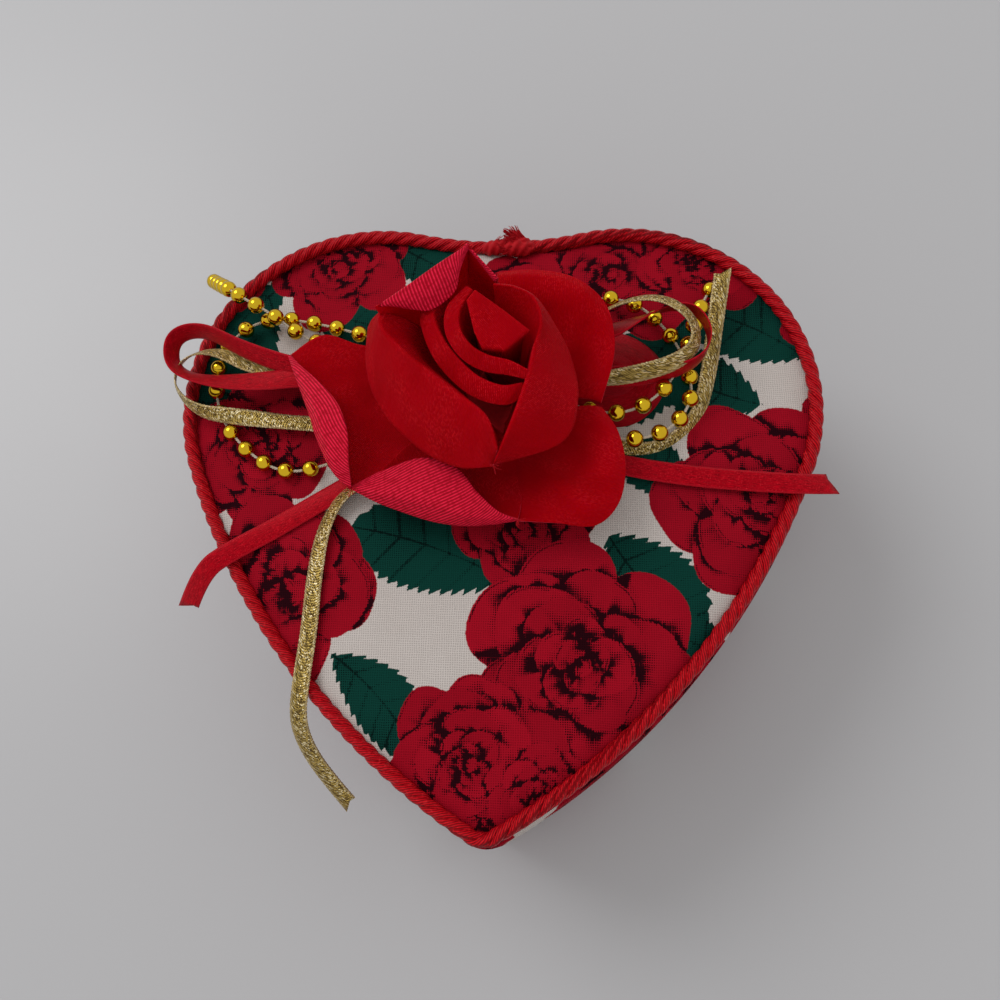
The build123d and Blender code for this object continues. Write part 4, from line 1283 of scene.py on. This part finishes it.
# ---------------------------------------------------------------- satin rose
# Each petal is a net of points, rows from its foot to its cut edge and columns clockwise
# seen from above. A crease is the number of a row that keeps a pressed fold.
PETALS = {
    "petal_left": ((5,), (
        ((-6, 15, 61.6), (-7, 16, 61.6), (-7.8, 17.8, 61.6), (-8.4, 20.2, 61.6), (-8.6, 23, 61.6),
         (-8.2, 26, 61.8), (-7, 28.6, 62)),
        ((-12, 10.4, 62.4), (-14, 12, 62.2), (-15.6, 14.6, 62.2), (-16.6, 18, 62.6), (-17, 22, 63.2),
         (-16.8, 26, 64.4), (-15, 29.6, 65.6)),
        ((-17.5, 6.4, 63.4), (-20.5, 8.6, 63), (-22.6, 12.2, 63), (-24, 16.2, 63.6), (-25, 20.4, 64.4),
         (-25.6, 25, 65.8), (-24.4, 28.8, 67.2)),
        ((-21.5, 3, 64.8), (-25.5, 6, 64.6), (-28.6, 10.8, 65), (-30.6, 15, 65.6), (-32.2, 19.2, 66.2),
         (-33.4, 24.2, 67), (-32, 30.6, 68.2)),
        ((-25, 0.8, 66.4), (-28.6, 4.2, 66.8), (-31.7, 9.9, 67.4), (-33.4, 14.4, 67.9), (-35, 18.4, 68.2),
         (-36.7, 22.8, 68.4), (-37.8, 26.3, 68.6)),
        ((-25, 0.7, 66.9), (-28, 4.4, 68.6), (-30.4, 10.2, 69.8), (-31.9, 14.9, 70.2), (-34, 18.9, 70.1),
         (-36.5, 22.9, 69.5), (-37.8, 26.2, 68.8)),
        ((-24.8, 0.9, 67), (-25.1, 4.8, 69.4), (-25.6, 10.6, 70.4), (-27.6, 15.6, 70.6), (-31, 19.6, 70.3),
         (-35.2, 23.4, 69.6), (-37.7, 26.1, 68.9)))),
    "petal_front_left": ((5,), (
        ((3.6, 13.6, 61.6), (2, 13.2, 61.6), (0, 13, 61.6), (-2, 13.2, 61.6), (-4, 14, 61.6),
         (-6, 15.2, 61.6), (-7.4, 16.6, 61.6)),
        ((5, 9, 62.6), (2.4, 8.6, 62.4), (-0.6, 8.6, 62.3), (-3.8, 9.2, 62.3), (-6.8, 10.4, 62.3),
         (-9.6, 12, 62.4), (-12, 13.8, 62.6)),
        ((6, 4, 63.4), (2.2, 3.2, 63), (-2, 3, 62.8), (-6.4, 3.8, 62.8), (-10.4, 5.2, 62.8), (-14, 7, 63),
         (-17, 8.8, 63.6)),
        ((6, -1.5, 64.4), (1.5, -2.5, 63.8), (-3.5, -2.6, 63.4), (-8.6, -1.8, 63.4), (-13.2, -0.4, 63.6),
         (-17.4, 1.6, 64), (-21.2, 3.6, 65)),
        ((5.6, -4.5, 65.6), (0.8, -5.3, 65.2), (-4.4, -5.6, 65), (-9.8, -4.9, 65), (-14.9, -3.4, 65.2),
         (-20, -1.6, 65.8), (-24.8, 0.9, 66.4)),
        ((5.7, -4.6, 66.2), (1.4, -4.9, 67), (-3.4, -4.4, 68), (-8.8, -3, 68.6), (-14.2, -1.6, 68.6),
         (-19.8, -0.6, 68.2), (-24.8, 1, 66.8)),
        ((5.8, -4.8, 66.4), (2, -3.4, 67.4), (-1.6, -0.4, 68.8), (-5.6, 4, 69.6), (-11.6, 5.7, 69.6),
         (-18.6, 3.6, 68.8), (-24.6, 1.2, 66.9)))),
    "petal_front_right": ((), (
        ((7.4, 19, 61.6), (7.2, 17.4, 61.6), (6.6, 16, 61.6), (5.8, 14.8, 61.6), (4.8, 14, 61.6),
         (3.8, 13.6, 61.6), (2.4, 13.2, 61.5)),
        ((9.4, 17.8, 62.8), (9.8, 14.8, 62.8), (9.6, 12.2, 63), (8.8, 10.2, 63.4), (7.4, 9.2, 63.4),
         (5.6, 9, 62.8), (3, 9.2, 61.8)),
        ((12, 17.2, 64.4), (13.2, 13, 64.4), (13.6, 9, 64.8), (12.8, 5.6, 65.6), (10.8, 4.2, 66),
         (7.6, 4.2, 64.4), (3.4, 4.4, 62.4)),
        ((15.5, 17, 66), (17.4, 12.2, 66), (18, 7, 66.2), (17.2, 2.4, 66.6), (14.2, 0.4, 67),
         (9.6, 0.6, 65.2), (3.8, 0.4, 63.2)),
        ((18.5, 17, 66.6), (21.2, 11.8, 66.8), (22, 5.8, 66.8), (20.8, 0, 66.4), (17.2, -3, 66.6),
         (11.4, -2.6, 65.4), (4.4, -2.8, 64.1)),
        ((20.5, 16.9, 66), (23.5, 12, 66.2), (24.8, 5.6, 66), (23.6, -1.2, 65.4), (19.4, -5.3, 65),
         (12.2, -5, 65.2), (5, -4.6, 65)))),
    "petal_right": ((), (
        ((1, 29.6, 61.6), (2.6, 29.2, 61.6), (4.2, 28.4, 61.6), (5.6, 27.2, 61.6), (6.6, 25.8, 61.6),
         (7, 24.2, 61.6), (7, 22.6, 61.6), (6.8, 21.2, 61.6)),
        ((1.6, 31, 63.6), (4, 30.8, 63.6), (6.4, 30, 63.6), (8.2, 28.6, 63.6), (9.4, 26.8, 63.4),
         (9.8, 24.8, 63.2), (9.8, 22.8, 63), (9.4, 21, 62.8)),
        ((1.8, 34.2, 68), (5.2, 34, 68), (8.8, 33, 68), (11.6, 31, 67.6), (13.4, 28.6, 67), (14, 26, 66),
         (14, 23.2, 65), (13, 20, 63.8)),
        ((1.6, 37.2, 71.8), (6.2, 37, 72), (11, 36, 72), (14.4, 33.8, 71.4), (16.6, 31, 70.4),
         (17.6, 27.6, 69), (17.6, 24, 67.4), (16, 19, 65.2)),
        ((1.2, 39.6, 73), (6.8, 39.6, 73.4), (12.6, 38.6, 73.4), (16.6, 36.2, 73), (19.4, 33, 72.2),
         (20.6, 28.8, 71), (20.6, 24.4, 69.2), (18.6, 18.2, 66.6)),
        ((1, 41, 72.5), (7.4, 41.2, 73), (13.8, 40.2, 73), (18.3, 37.7, 72.6), (21.3, 34.2, 72),
         (22.6, 29.4, 71), (22.5, 24.6, 69.6), (20.4, 17.4, 67)))),
    "petal_back": ((5,), (
        ((-8.6, 24.5, 61.6), (-8.2, 26.6, 61.6), (-7, 28.8, 61.6), (-5, 30.6, 61.6), (-3.2, 31.3, 61.6),
         (-2.6, 31.4, 61.6), (-2, 31.5, 61.6), (0, 31.4, 61.6)),
        ((-12.4, 25.4, 66), (-11.8, 28.4, 66), (-10, 31, 66), (-7, 33, 66), (-4.3, 33.7, 66),
         (-3.6, 33.8, 66), (-2.9, 33.7, 66), (0.4, 33, 66)),
        ((-16, 26.6, 73), (-15, 30, 73), (-12.6, 32.8, 73), (-8.8, 35.2, 73), (-4.9, 36.5, 73),
         (-4.2, 36.7, 73), (-3.4, 36.4, 73), (1, 34.6, 73)),
        ((-18.2, 28, 79.6), (-16.4, 30.6, 80), (-13, 33, 80), (-8.8, 35.8, 80), (-4.4, 38.3, 80),
         (-3.6, 38.9, 80), (-2.9, 38.3, 79.9), (1.6, 34.8, 79)),
        ((-19.2, 28.9, 81.8), (-16, 31, 82.9), (-12.2, 33.5, 83.6), (-8.4, 36.2, 84.1), (-4.2, 39, 84.4),
         (-3.3, 39.9, 84.4), (-2.7, 39, 84.1), (1.9, 34.9, 81.3)),
        ((-19.4, 29.3, 82.2), (-15.8, 30.9, 83.3), (-12, 33.3, 84), (-8.2, 35.9, 84.5), (-4.4, 38.6, 84.8),
         (-3.2, 39.8, 84.8), (-2.6, 38.95, 84.3), (1.9, 34.8, 81.6)),
        ((-18.2, 29.5, 82), (-14.2, 29.9, 82.6), (-10.6, 31.2, 82.9), (-6.8, 34, 83.5), (-4.6, 37.3, 84.4),
         (-3.3, 39.4, 84.6), (-2.65, 38.85, 84.2), (1.7, 34.6, 81.4)),
        ((-17.2, 30, 81.4), (-12.4, 29.3, 81), (-9.4, 29.5, 80.8), (-5.6, 32.4, 81.6), (-4.6, 35.6, 83.4),
         (-3.4, 38.8, 84.2), (-2.7, 38.75, 84), (1.5, 34.4, 81)))),
    "cup_left": ((4,), (
        ((2, 13, 61.8), (0.8, 14, 61.8), (-0.6, 15.2, 61.8), (-2.2, 16.6, 61.8), (-3.8, 18.4, 61.8),
         (-5, 20.6, 61.8), (-5.6, 23, 61.8), (-5.2, 25, 61.8)),
        ((2.2, 11.6, 64), (0.8, 13.2, 64), (-1, 15, 64), (-3, 16.8, 64), (-4.8, 18.8, 64), (-6.2, 21, 64),
         (-6.8, 23.4, 64), (-6.4, 25.6, 64)),
        ((2.4, 9.4, 69), (0.6, 12.2, 69), (-2, 15, 69), (-4.8, 17.6, 69), (-7.2, 20, 69.2), (-9, 22.6, 69.6),
         (-10, 25.4, 70), (-9.6, 28, 70.4)),
        ((2.4, 7, 75), (0, 11.4, 75), (-3.6, 15.2, 75), (-7.4, 18.4, 75.2), (-10.4, 21, 75.6),
         (-12.8, 23.8, 76), (-14.4, 26.6, 76.4), (-14.2, 29.2, 77)),
        ((2.5, 4.4, 78.4), (0.6, 10, 79.6), (-4.8, 14.2, 80), (-9.6, 18, 80.2), (-13.4, 21, 80.4),
         (-16.4, 23.8, 80.6), (-18.6, 26.4, 80.8), (-18.6, 29, 81)),
        ((1.9, 3.2, 76), (-2.4, 6.4, 76.6), (-7.4, 9.6, 76.8), (-12, 13.2, 77), (-15.8, 16.8, 77.2),
         (-18.4, 20.6, 77.6), (-20.2, 24.6, 78), (-20.4, 28.4, 79)),
        ((1.4, 2.6, 74.5), (-4, 2.8, 73), (-9.2, 4.8, 72.4), (-14, 8.4, 72), (-18, 12.4, 72.2),
         (-20.9, 17.2, 73), (-22.1, 22.6, 74.4), (-21.6, 28, 76.6)))),
    "cup_right": ((4,), (
        ((0.8, 26.8, 61.8), (2.2, 26.2, 61.8), (3.4, 25, 61.8), (4, 23.4, 61.8), (4.2, 21.4, 61.8),
         (4, 19.2, 61.8), (3.4, 17, 61.8), (2.4, 15, 61.8)),
        ((1, 27.6, 64.4), (2.6, 27, 64.4), (4, 25.8, 64.4), (4.8, 24, 64.4), (5, 21.6, 64.4), (4.8, 19, 64.4),
         (4, 16.4, 64.4), (2.8, 13.8, 64.4)),
        ((1.4, 29.6, 70), (3.6, 28.8, 70), (5.6, 27, 70), (6.4, 24.4, 70), (6.4, 21.2, 70), (5.8, 17.6, 70),
         (4.6, 14, 70), (2.8, 9.6, 69.6)),
        ((1.4, 31.6, 76.5), (4.2, 30.8, 76.8), (6.8, 28.8, 76.8), (7.8, 25.6, 76.4), (7.4, 21.6, 76),
         (6.6, 16.8, 75.6), (5, 12, 75), (2.6, 6, 74)),
        ((1.2, 33.5, 82), (4.8, 32.8, 82.4), (8.2, 30.8, 82.2), (9.6, 26.8, 81.6), (8.4, 22.2, 81),
         (7.2, 16.6, 80.6), (5.2, 10.4, 79.8), (1.9, 2, 77.6)),
        ((1.25, 33.7, 81.9), (4.9, 33, 82.2), (8.5, 31.1, 81.8), (10.8, 27.4, 79.8), (11.6, 22.6, 78.2),
         (11.2, 16.2, 77.6), (8.6, 8.6, 76.6), (1.7, 2.2, 76.4)),
        ((1.3, 33.8, 81.6), (5, 33.2, 81.8), (8.8, 31.2, 81), (12, 27.8, 77.4), (14.8, 23, 74.4),
         (16.1, 15.6, 73.4), (13.4, 7.6, 73.2), (1.4, 2.6, 75)))),
    "wrap_left": ((3,), (
        ((3.4, 18.8, 61.8), (2, 18.8, 61.8), (0.4, 19.6, 61.8), (-1.4, 21.4, 61.8), (-2.4, 23.6, 61.8),
         (-2.6, 25.6, 61.8), (-2, 27, 61.8)),
        ((4.6, 18.2, 67), (2.4, 18, 67), (0, 19, 67), (-2.4, 21.4, 67), (-3.8, 24.4, 67), (-4.2, 27, 67),
         (-3.4, 29, 67)),
        ((6, 17.4, 74), (2.8, 16.8, 74), (-0.6, 18.2, 74), (-3.8, 21.4, 74), (-6, 25, 74.4), (-7, 28.6, 75),
         (-5.8, 31.4, 75.6)),
        ((6.6, 16.6, 78.4), (2.9, 15.9, 79), (-1.4, 17.6, 79.4), (-5.2, 21.2, 79.8), (-8, 25.2, 80),
         (-9.4, 29.4, 80.4), (-7.6, 33, 81)),
        ((6.9, 15.6, 77.9), (3.2, 14.1, 78.3), (-2.05, 15.9, 78.5), (-6.8, 20.3, 78.9), (-9.8, 25.2, 79.2),
         (-11.1, 30.1, 79.6), (-8.4, 33.9, 80.2)),
        ((7.1, 14.8, 77.3), (3.4, 12.8, 77.5), (-2.6, 14.6, 77.6), (-8, 19.6, 78), (-11, 25.2, 78.4),
         (-11.8, 30.4, 78.8), (-8.6, 34, 79.4)))),
    "wrap_right": ((3,), (
        ((3.4, 21, 61.8), (2.4, 21.4, 61.8), (1.2, 21.8, 61.8), (0.2, 22.8, 61.8), (-0.4, 24, 61.8),
         (-0.4, 25.4, 61.8), (0.2, 26.6, 61.8)),
        ((4.8, 20, 68), (3, 20.8, 68), (1, 21.4, 68), (-0.6, 22.8, 68), (-1.6, 24.6, 68), (-1.6, 26.6, 68),
         (-0.6, 28.4, 68)),
        ((6.6, 19, 76), (3.8, 20.2, 76), (0.8, 21, 76), (-1.6, 22.6, 76), (-3.2, 25.2, 76),
         (-3.4, 28, 76.4), (-1.8, 30.8, 77)),
        ((7.6, 18, 80.6), (4.4, 19.6, 81), (0.6, 20.6, 81.2), (-2.4, 22.4, 81.4), (-4.4, 25.4, 81.6),
         (-4.4, 29, 82), (-2.4, 32.4, 82.4)),
        ((7.8, 17.2, 79.9), (4.3, 18.4, 80.2), (0, 19.3, 80.3), (-3.6, 21.4, 80.6), (-5.9, 25.1, 80.9),
         (-5.9, 29.3, 81.3), (-3.3, 33.2, 81.8)),
        ((7.6, 16.8, 79.3), (4, 17.6, 79.4), (-0.5, 18.4, 79.5), (-4.4, 20.8, 79.9), (-7, 25, 80.3),
         (-7, 29.6, 80.7), (-4, 33.4, 81.2)))),
}
# Slant of the ribs of the petals that were cut at an angle to the cloth, in radians.
RIB_TURNS = {"petal_left": 0.12, "petal_front_left": 0.7, "petal_back": 1.5, "cup_left": 0.1}


def make_rose():
    """Nine layered petals of ribbed satin round a folded bud, on a stitched heel."""
    wish = settings("rose")
    finishes = [petal_face(), petal_reverse(), cut_edge()]
    for name, (creases, rows) in PETALS.items():
        surface = smooth_net(rows, 72, 72, creases)
        turn = RIB_TURNS.get(name, 0.0)
        piece = cloth_shell(name + "_satin", surface, wish.cloth / MM, finishes, turn)
        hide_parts(name)
        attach(piece, "lid")
    make_bud(finishes)
    make_loose_threads()


def make_bud(finishes):
    """The rolled centre: a strip wound round itself with its end folded flat over the top."""
    outline = np.array(((-1.8, 31.5), (2.9, 28.4), (7.7, 24.9), (3.6, 21.2), (-0.4, 21.4), (-1.8, 24.2),
                        (-3.2, 29.6)))
    middle = outline.mean(0)
    top_count = 56
    shares = np.arange(top_count) / top_count * len(outline)
    wrapped = np.concatenate([outline, outline[:1]])
    ring = points_at(wrapped, np.arange(len(wrapped)), shares)
    foot = np.array((1.4, 24.4))
    angles = np.arctan2(ring[:, 1] - middle[1], ring[:, 0] - middle[0])
    round_foot = np.stack([np.cos(angles), np.sin(angles)], 1)
    lean = 0.16 * (ring[:, 1] - middle[1]) - 0.12 * (ring[:, 0] - middle[0])
    rings = [np.array([[*foot, 61.4]])]
    for share, radius, height in ((0.0, 2.2, 61.6), (0.25, 3.0, 66), (0.55, 3.6, 72), (0.8, 4.0, 77)):
        flat = (foot + round_foot * radius) * (1 - share) + (middle + (ring - middle) * 0.82) * share
        rings.append(with_height(flat, height))
    for scale, drop in ((0.93, 2.2), (0.99, 0.9), (1.0, 0.35), (0.985, 0.08), (0.93, 0.0), (0.6, 0.0),
                        (0.2, 0.05)):
        rings.append(with_height(middle + (ring - middle) * scale, 83.0 + lean * scale - drop))
    rings.append(np.array([[*middle, 82.9]]))
    piece = ring_shell("rose_bud_satin", rings, finishes)
    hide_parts("rose_bud")
    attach(piece, "lid")


def make_loose_threads():
    """A few frayed ends where neighbouring petals are gathered together."""
    chance = random.Random(21)
    angles = np.arange(5) / 5 * 2 * pi
    section = 0.07 * np.stack([np.cos(angles), np.sin(angles), 0 * angles], 1)
    parts = []
    for root, count in (((-24.8, 0.8, 66.8), 9), ((5.8, -4.8, 66.4), 6), ((1.6, 2.3, 76.2), 8)):
        for _ in range(count):
            lean = np.array([chance.uniform(*span) for span in ((-1, 1), (-1.2, 0.5), (-0.5, 1.0))])
            bend = np.array([chance.uniform(*span) for span in ((-1, 1), (-1, 1), (-0.4, 0.8))])
            shares = np.array((0, 0.33, 0.66, 1))[:, None]
            line = catmull(root + lean * shares * 1.3 + bend * shares**2 * 0.9, 9)
            rings = [line[:1], *(place + section for place in line), line[-1:]]
            parts.append(ring_shell("thread", rings, [bpy.data.materials["cord_fibres"]]))
    piece = join_meshes("rose_loose_threads", parts)
    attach(piece, "lid")


# ---------------------------------------------------------------- inner pieces
PLATE_COLUMNS = 420  # points in a ring of the satin-covered cards


def plate_rings(outline, bottom, top, edge):
    """Rings of a padded plate: flat below and above, with rounded edges."""
    rows, steps = 26, 6
    whole = heart_ring(outline, PLATE_COLUMNS)
    edge = min(edge, (top - bottom) / 2)
    arc = [(1 - sin(turn), 1 - cos(turn)) for turn in np.linspace(0, pi / 2, steps + 1)]
    rings = [with_height(MIDDLE, bottom)]
    rings += [with_height(drawn_in(whole, share), bottom) for share in (0.5, 0.95, 0.99)]
    rings += [heart_level(outline - edge * a, PLATE_COLUMNS, bottom + edge * b) for a, b in arc]
    rings += [heart_level(outline - edge * b, PLATE_COLUMNS, top - edge * a) for a, b in arc]
    last = rings[-1][:, :2]
    rings += [with_height(drawn_in(last, share), top) for share in np.linspace(1, 0, rows)[1:-1]]
    rings.append(with_height(MIDDLE, top))
    # From below upwards and inwards the columns have to run the other way for faces to point out.
    return [ring[::-1] for ring in rings]


def make_plate(name, node, outline, edge, material, body):
    """A plate of satin-covered card with rounded edges, in the place of a frame node."""
    low, high = node_box(node)
    piece = ring_shell(name, plate_rings(outline, low[2], high[2], edge), [material])
    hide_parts(node)
    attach(piece, body)


def make_wall_lining():
    """Satin-covered card inside the wall, rolled over at its top."""
    low, high = (corner[2] for corner in node_box("wall_lining"))
    face, back = -3.55, -2.72  # the card's two faces, from the outline
    profile = [(back, low), (back, high - 0.5), (back - 0.1, high - 0.12), (back - 0.3, high),
               (face + 0.25, high - 0.02), (face + 0.05, high - 0.3), (face, high - 0.8)]
    for share in np.linspace(0, 1, 16)[1:]:
        profile.append((face + 0.18 * sin(pi * share), (high - 0.8) * (1 - share) + low * share))
    rings = [heart_level(grow, PLATE_COLUMNS, height)[::-1] for grow, height in profile]
    spread = np.arange(PLATE_COLUMNS)[:, None] / PLATE_COLUMNS * heart_perimeter(face)
    places = [with_height(spread, height) for _, height in profile]
    piece = ring_shell("wall_satin_lining", rings, [bpy.data.materials["lining_satin"]], places)
    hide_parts("wall_lining")
    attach(piece, "box")


def make_hinges():
    """Two cotton patches outside the back, one on each lobe, from the wall's cloth to the lid's."""
    material = hinge_cotton()
    low, high = node_box("hinge_cloth_base")[0][2], node_box("hinge_cloth_lid")[1][2]
    on_wall, on_lid = (LOBE_RADIUS + stand_off for stand_off in HINGE_STAND_OFF)
    x = np.linspace(-HINGE_HALF_WIDTH, HINGE_HALF_WIDTH, 26)
    bend = 1.2  # how far from the rim, up and down, the patch passes from the wall to the lid
    for side, middle in (("left", -LOBE_OFFSET), ("right", LOBE_OFFSET)):
        rows = []
        for height in np.linspace(low, high, 44):
            share = np.clip((height - RIM_Z + bend) / (2 * bend), 0, 1)
            radius = on_wall + (on_lid - on_wall) * share
            rows.append(np.stack([middle + x, LOBE_Y + np.sqrt(radius**2 - x**2), 0 * x + height], 1))
        piece = cloth_shell("hinge_patch_" + side, np.array(rows), HINGE_CLOTH, [material] * 3)
        if side == "left":
            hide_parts("hinge_cloth_base", "hinge_cloth_lid")
        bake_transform(piece)


def dress_frame_nodes():
    """Put finishes on the frame's own pieces that keep their shape."""
    finishes = {
        "base_felt": base_felt(), "base_board": grey_card(), "wall_board": bpy.data.materials["grey_card"],
        "lid_board": bpy.data.materials["grey_card"], "rose_heel": bpy.data.materials["cord_fibres"],
    }
    for name, finish in finishes.items():
        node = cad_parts[name]
        node.data.materials.clear()
        node.data.materials.append(finish)


# ---------------------------------------------------------------- stage
def make_camera():
    """Camera above the lid's front right, turned about its own axis."""
    place = Vector((0.01557, -0.05065, 0.23944))
    tilt, azimuth, roll = radians(16.5), radians(15.0), radians(-13.883)
    back = Vector((sin(azimuth) * sin(tilt), -cos(azimuth) * sin(tilt), cos(tilt)))
    right = (-back).cross(Vector((0, 0, 1))).normalized()
    up = right.cross(-back)
    turned_right = cos(roll) * right + sin(roll) * up
    turned_up = -sin(roll) * right + cos(roll) * up
    data = bpy.data.cameras.new("camera")
    data.sensor_width = 36.0
    data.lens = 36.1
    data.clip_start = 0.01
    camera = linked("camera", data)
    rotation = Matrix((turned_right, turned_up, back)).transposed().to_4x4()
    camera.matrix_world = Matrix.Translation(place) @ rotation
    bpy.context.scene.camera = camera


def table_top():
    """Pale painted table with a soft gloss."""
    paint = Shader("pale_table")
    wear = paint.noise(paint.place(), 9, 3.0)
    colour_here = paint.mix(paint.times(wear, 0.12), settings("stage").floor, tint(168, 167, 169))
    rough = paint.times(wear, 0.1, 0.3)
    return paint.finish(colour_here, rough, Specular_IOR_Level=0.3)


def soft_lamp(name, place, aim, size, power):
    """A round lamp, placed in metres and turned towards a point."""
    data = bpy.data.lights.new(name, "AREA")
    data.shape = "DISK"
    data.size = size
    data.energy = power
    lamp = linked(name, data)
    lamp.location = place
    lamp.rotation_euler = (Vector(aim) - Vector(place)).to_track_quat("-Z", "Y").to_euler()


def make_stage():
    """Table, even sky and one large soft lamp at the upper left."""
    wish = settings("stage")
    reach = 1.5  # metres from the middle to each edge of the table
    corners = [(x * reach, y * reach, 0) for x, y in ((-1, -1), (1, -1), (1, 1), (-1, 1))]
    mesh = bpy.data.meshes.new("table")
    mesh.from_pydata(corners, [], [(0, 1, 2, 3)])
    mesh.materials.append(table_top())
    table = linked("table", mesh)
    world = bpy.data.worlds.new("sky")
    world.use_nodes = True
    light = world.node_tree.nodes["Background"].inputs
    light["Color"].default_value = (1.0, 0.99, 0.98, 1.0)
    light["Strength"].default_value = wish.sky
    bpy.context.scene.world = world
    soft_lamp("window", (-0.58, 0.42, 0.86), aim=(0, 0, 0.04), size=0.6, power=wish.window)
    bpy.context.scene.view_settings.view_transform = "Standard"


# ---------------------------------------------------------------- operators and panel
class TRINKET_OT_camera(bpy.types.Operator):
    """Place the camera"""

    bl_idname = "trinket.camera"
    bl_label = "Camera"

    def execute(self, context):
        make_camera()
        return {"FINISHED"}


class TRINKET_OT_bows(bpy.types.Operator):
    """Make the satin and metallic ribbons and the bead strings"""

    bl_idname = "trinket.bows"
    bl_label = "Bows"

    def execute(self, context):
        wish = settings("trims")
        satin, metallic = satin_ribbon(), metallic_ribbon()
        for name in STRANDS:
            if name.startswith("red"):
                width = wish.fold_width if "fold" in name else wish.satin_width
                make_ribbon(name, width / MM, SATIN_CLOTH, satin)
            elif name.startswith("gold"):
                make_ribbon(name, wish.metallic_width / MM, METALLIC_CLOTH, metallic,
                            METALLIC_SCALLOP)
        make_bead_strings()
        return {"FINISHED"}


class TRINKET_OT_edge_cord(bpy.types.Operator):
    """Lay the twisted cord round the lid and fray its ends"""

    bl_idname = "trinket.edge_cord"
    bl_label = "Edge cord"

    def execute(self, context):
        make_edge_cord()
        make_cord_ends()
        return {"FINISHED"}


class TRINKET_OT_rose(bpy.types.Operator):
    """Make the layered satin rose"""

    bl_idname = "trinket.rose"
    bl_label = "Satin rose"

    def execute(self, context):
        make_rose()
        return {"FINISHED"}


class TRINKET_OT_printed_cloth(bpy.types.Operator):
    """Stretch the printed cotton over the lid and the wall"""

    bl_idname = "trinket.printed_cloth"
    bl_label = "Printed cloth"

    def execute(self, context):
        make_lid_cloth()
        make_wadding()
        make_wall_cloth()
        return {"FINISHED"}


class TRINKET_OT_inside(bpy.types.Operator):
    """Line the box and the lid, and finish the boards, felt and hinge"""

    bl_idname = "trinket.inside"
    bl_label = "Inside"

    def execute(self, context):
        satin = lining_satin()
        make_plate("floor_satin_pad", "floor_pad", -4.0, 1.2, satin, "box")
        make_plate("lid_satin_card", "lid_lining", -4.4, 0.3, satin, "lid")
        make_wall_lining()
        make_hinges()
        dress_frame_nodes()
        return {"FINISHED"}


class TRINKET_OT_stage(bpy.types.Operator):
    """Make the table and the lights"""

    bl_idname = "trinket.stage"
    bl_label = "Stage"

    def execute(self, context):
        make_stage()
        return {"FINISHED"}


class TRINKET_PT_panel(bpy.types.Panel):
    """Buttons for the box's pieces, in the order they are made"""

    bl_idname = "TRINKET_PT_panel"
    bl_label = "Heart trinket box"
    bl_space_type = "VIEW_3D"
    bl_region_type = "UI"
    bl_category = "Trinket box"

    def draw(self, context):
        for step in STEPS:
            self.layout.operator(step.bl_idname)


GROUPS = {"printed_cotton": PrintedCottonSettings, "rose": RoseSettings, "trims": TrimSettings,
          "stage": StageSettings}
STEPS = (TRINKET_OT_camera, TRINKET_OT_bows, TRINKET_OT_edge_cord, TRINKET_OT_rose,
         TRINKET_OT_printed_cloth, TRINKET_OT_inside, TRINKET_OT_stage)


def register():
    for name, group in GROUPS.items():
        bpy.utils.register_class(group)
        setattr(bpy.types.Scene, name, bpy.props.PointerProperty(type=group))
    for kind in (*STEPS, TRINKET_PT_panel):
        bpy.utils.register_class(kind)


def unregister():
    for kind in (TRINKET_PT_panel, *reversed(STEPS)):
        bpy.utils.unregister_class(kind)
    for name, group in GROUPS.items():
        delattr(bpy.types.Scene, name)
        bpy.utils.unregister_class(group)


def main():
    """Make the whole box, one operator after another."""
    register()
    for step in STEPS:
        family, action = step.bl_idname.split(".")
        getattr(getattr(bpy.ops, family), action)()


if __name__ == "__main__":
    main()
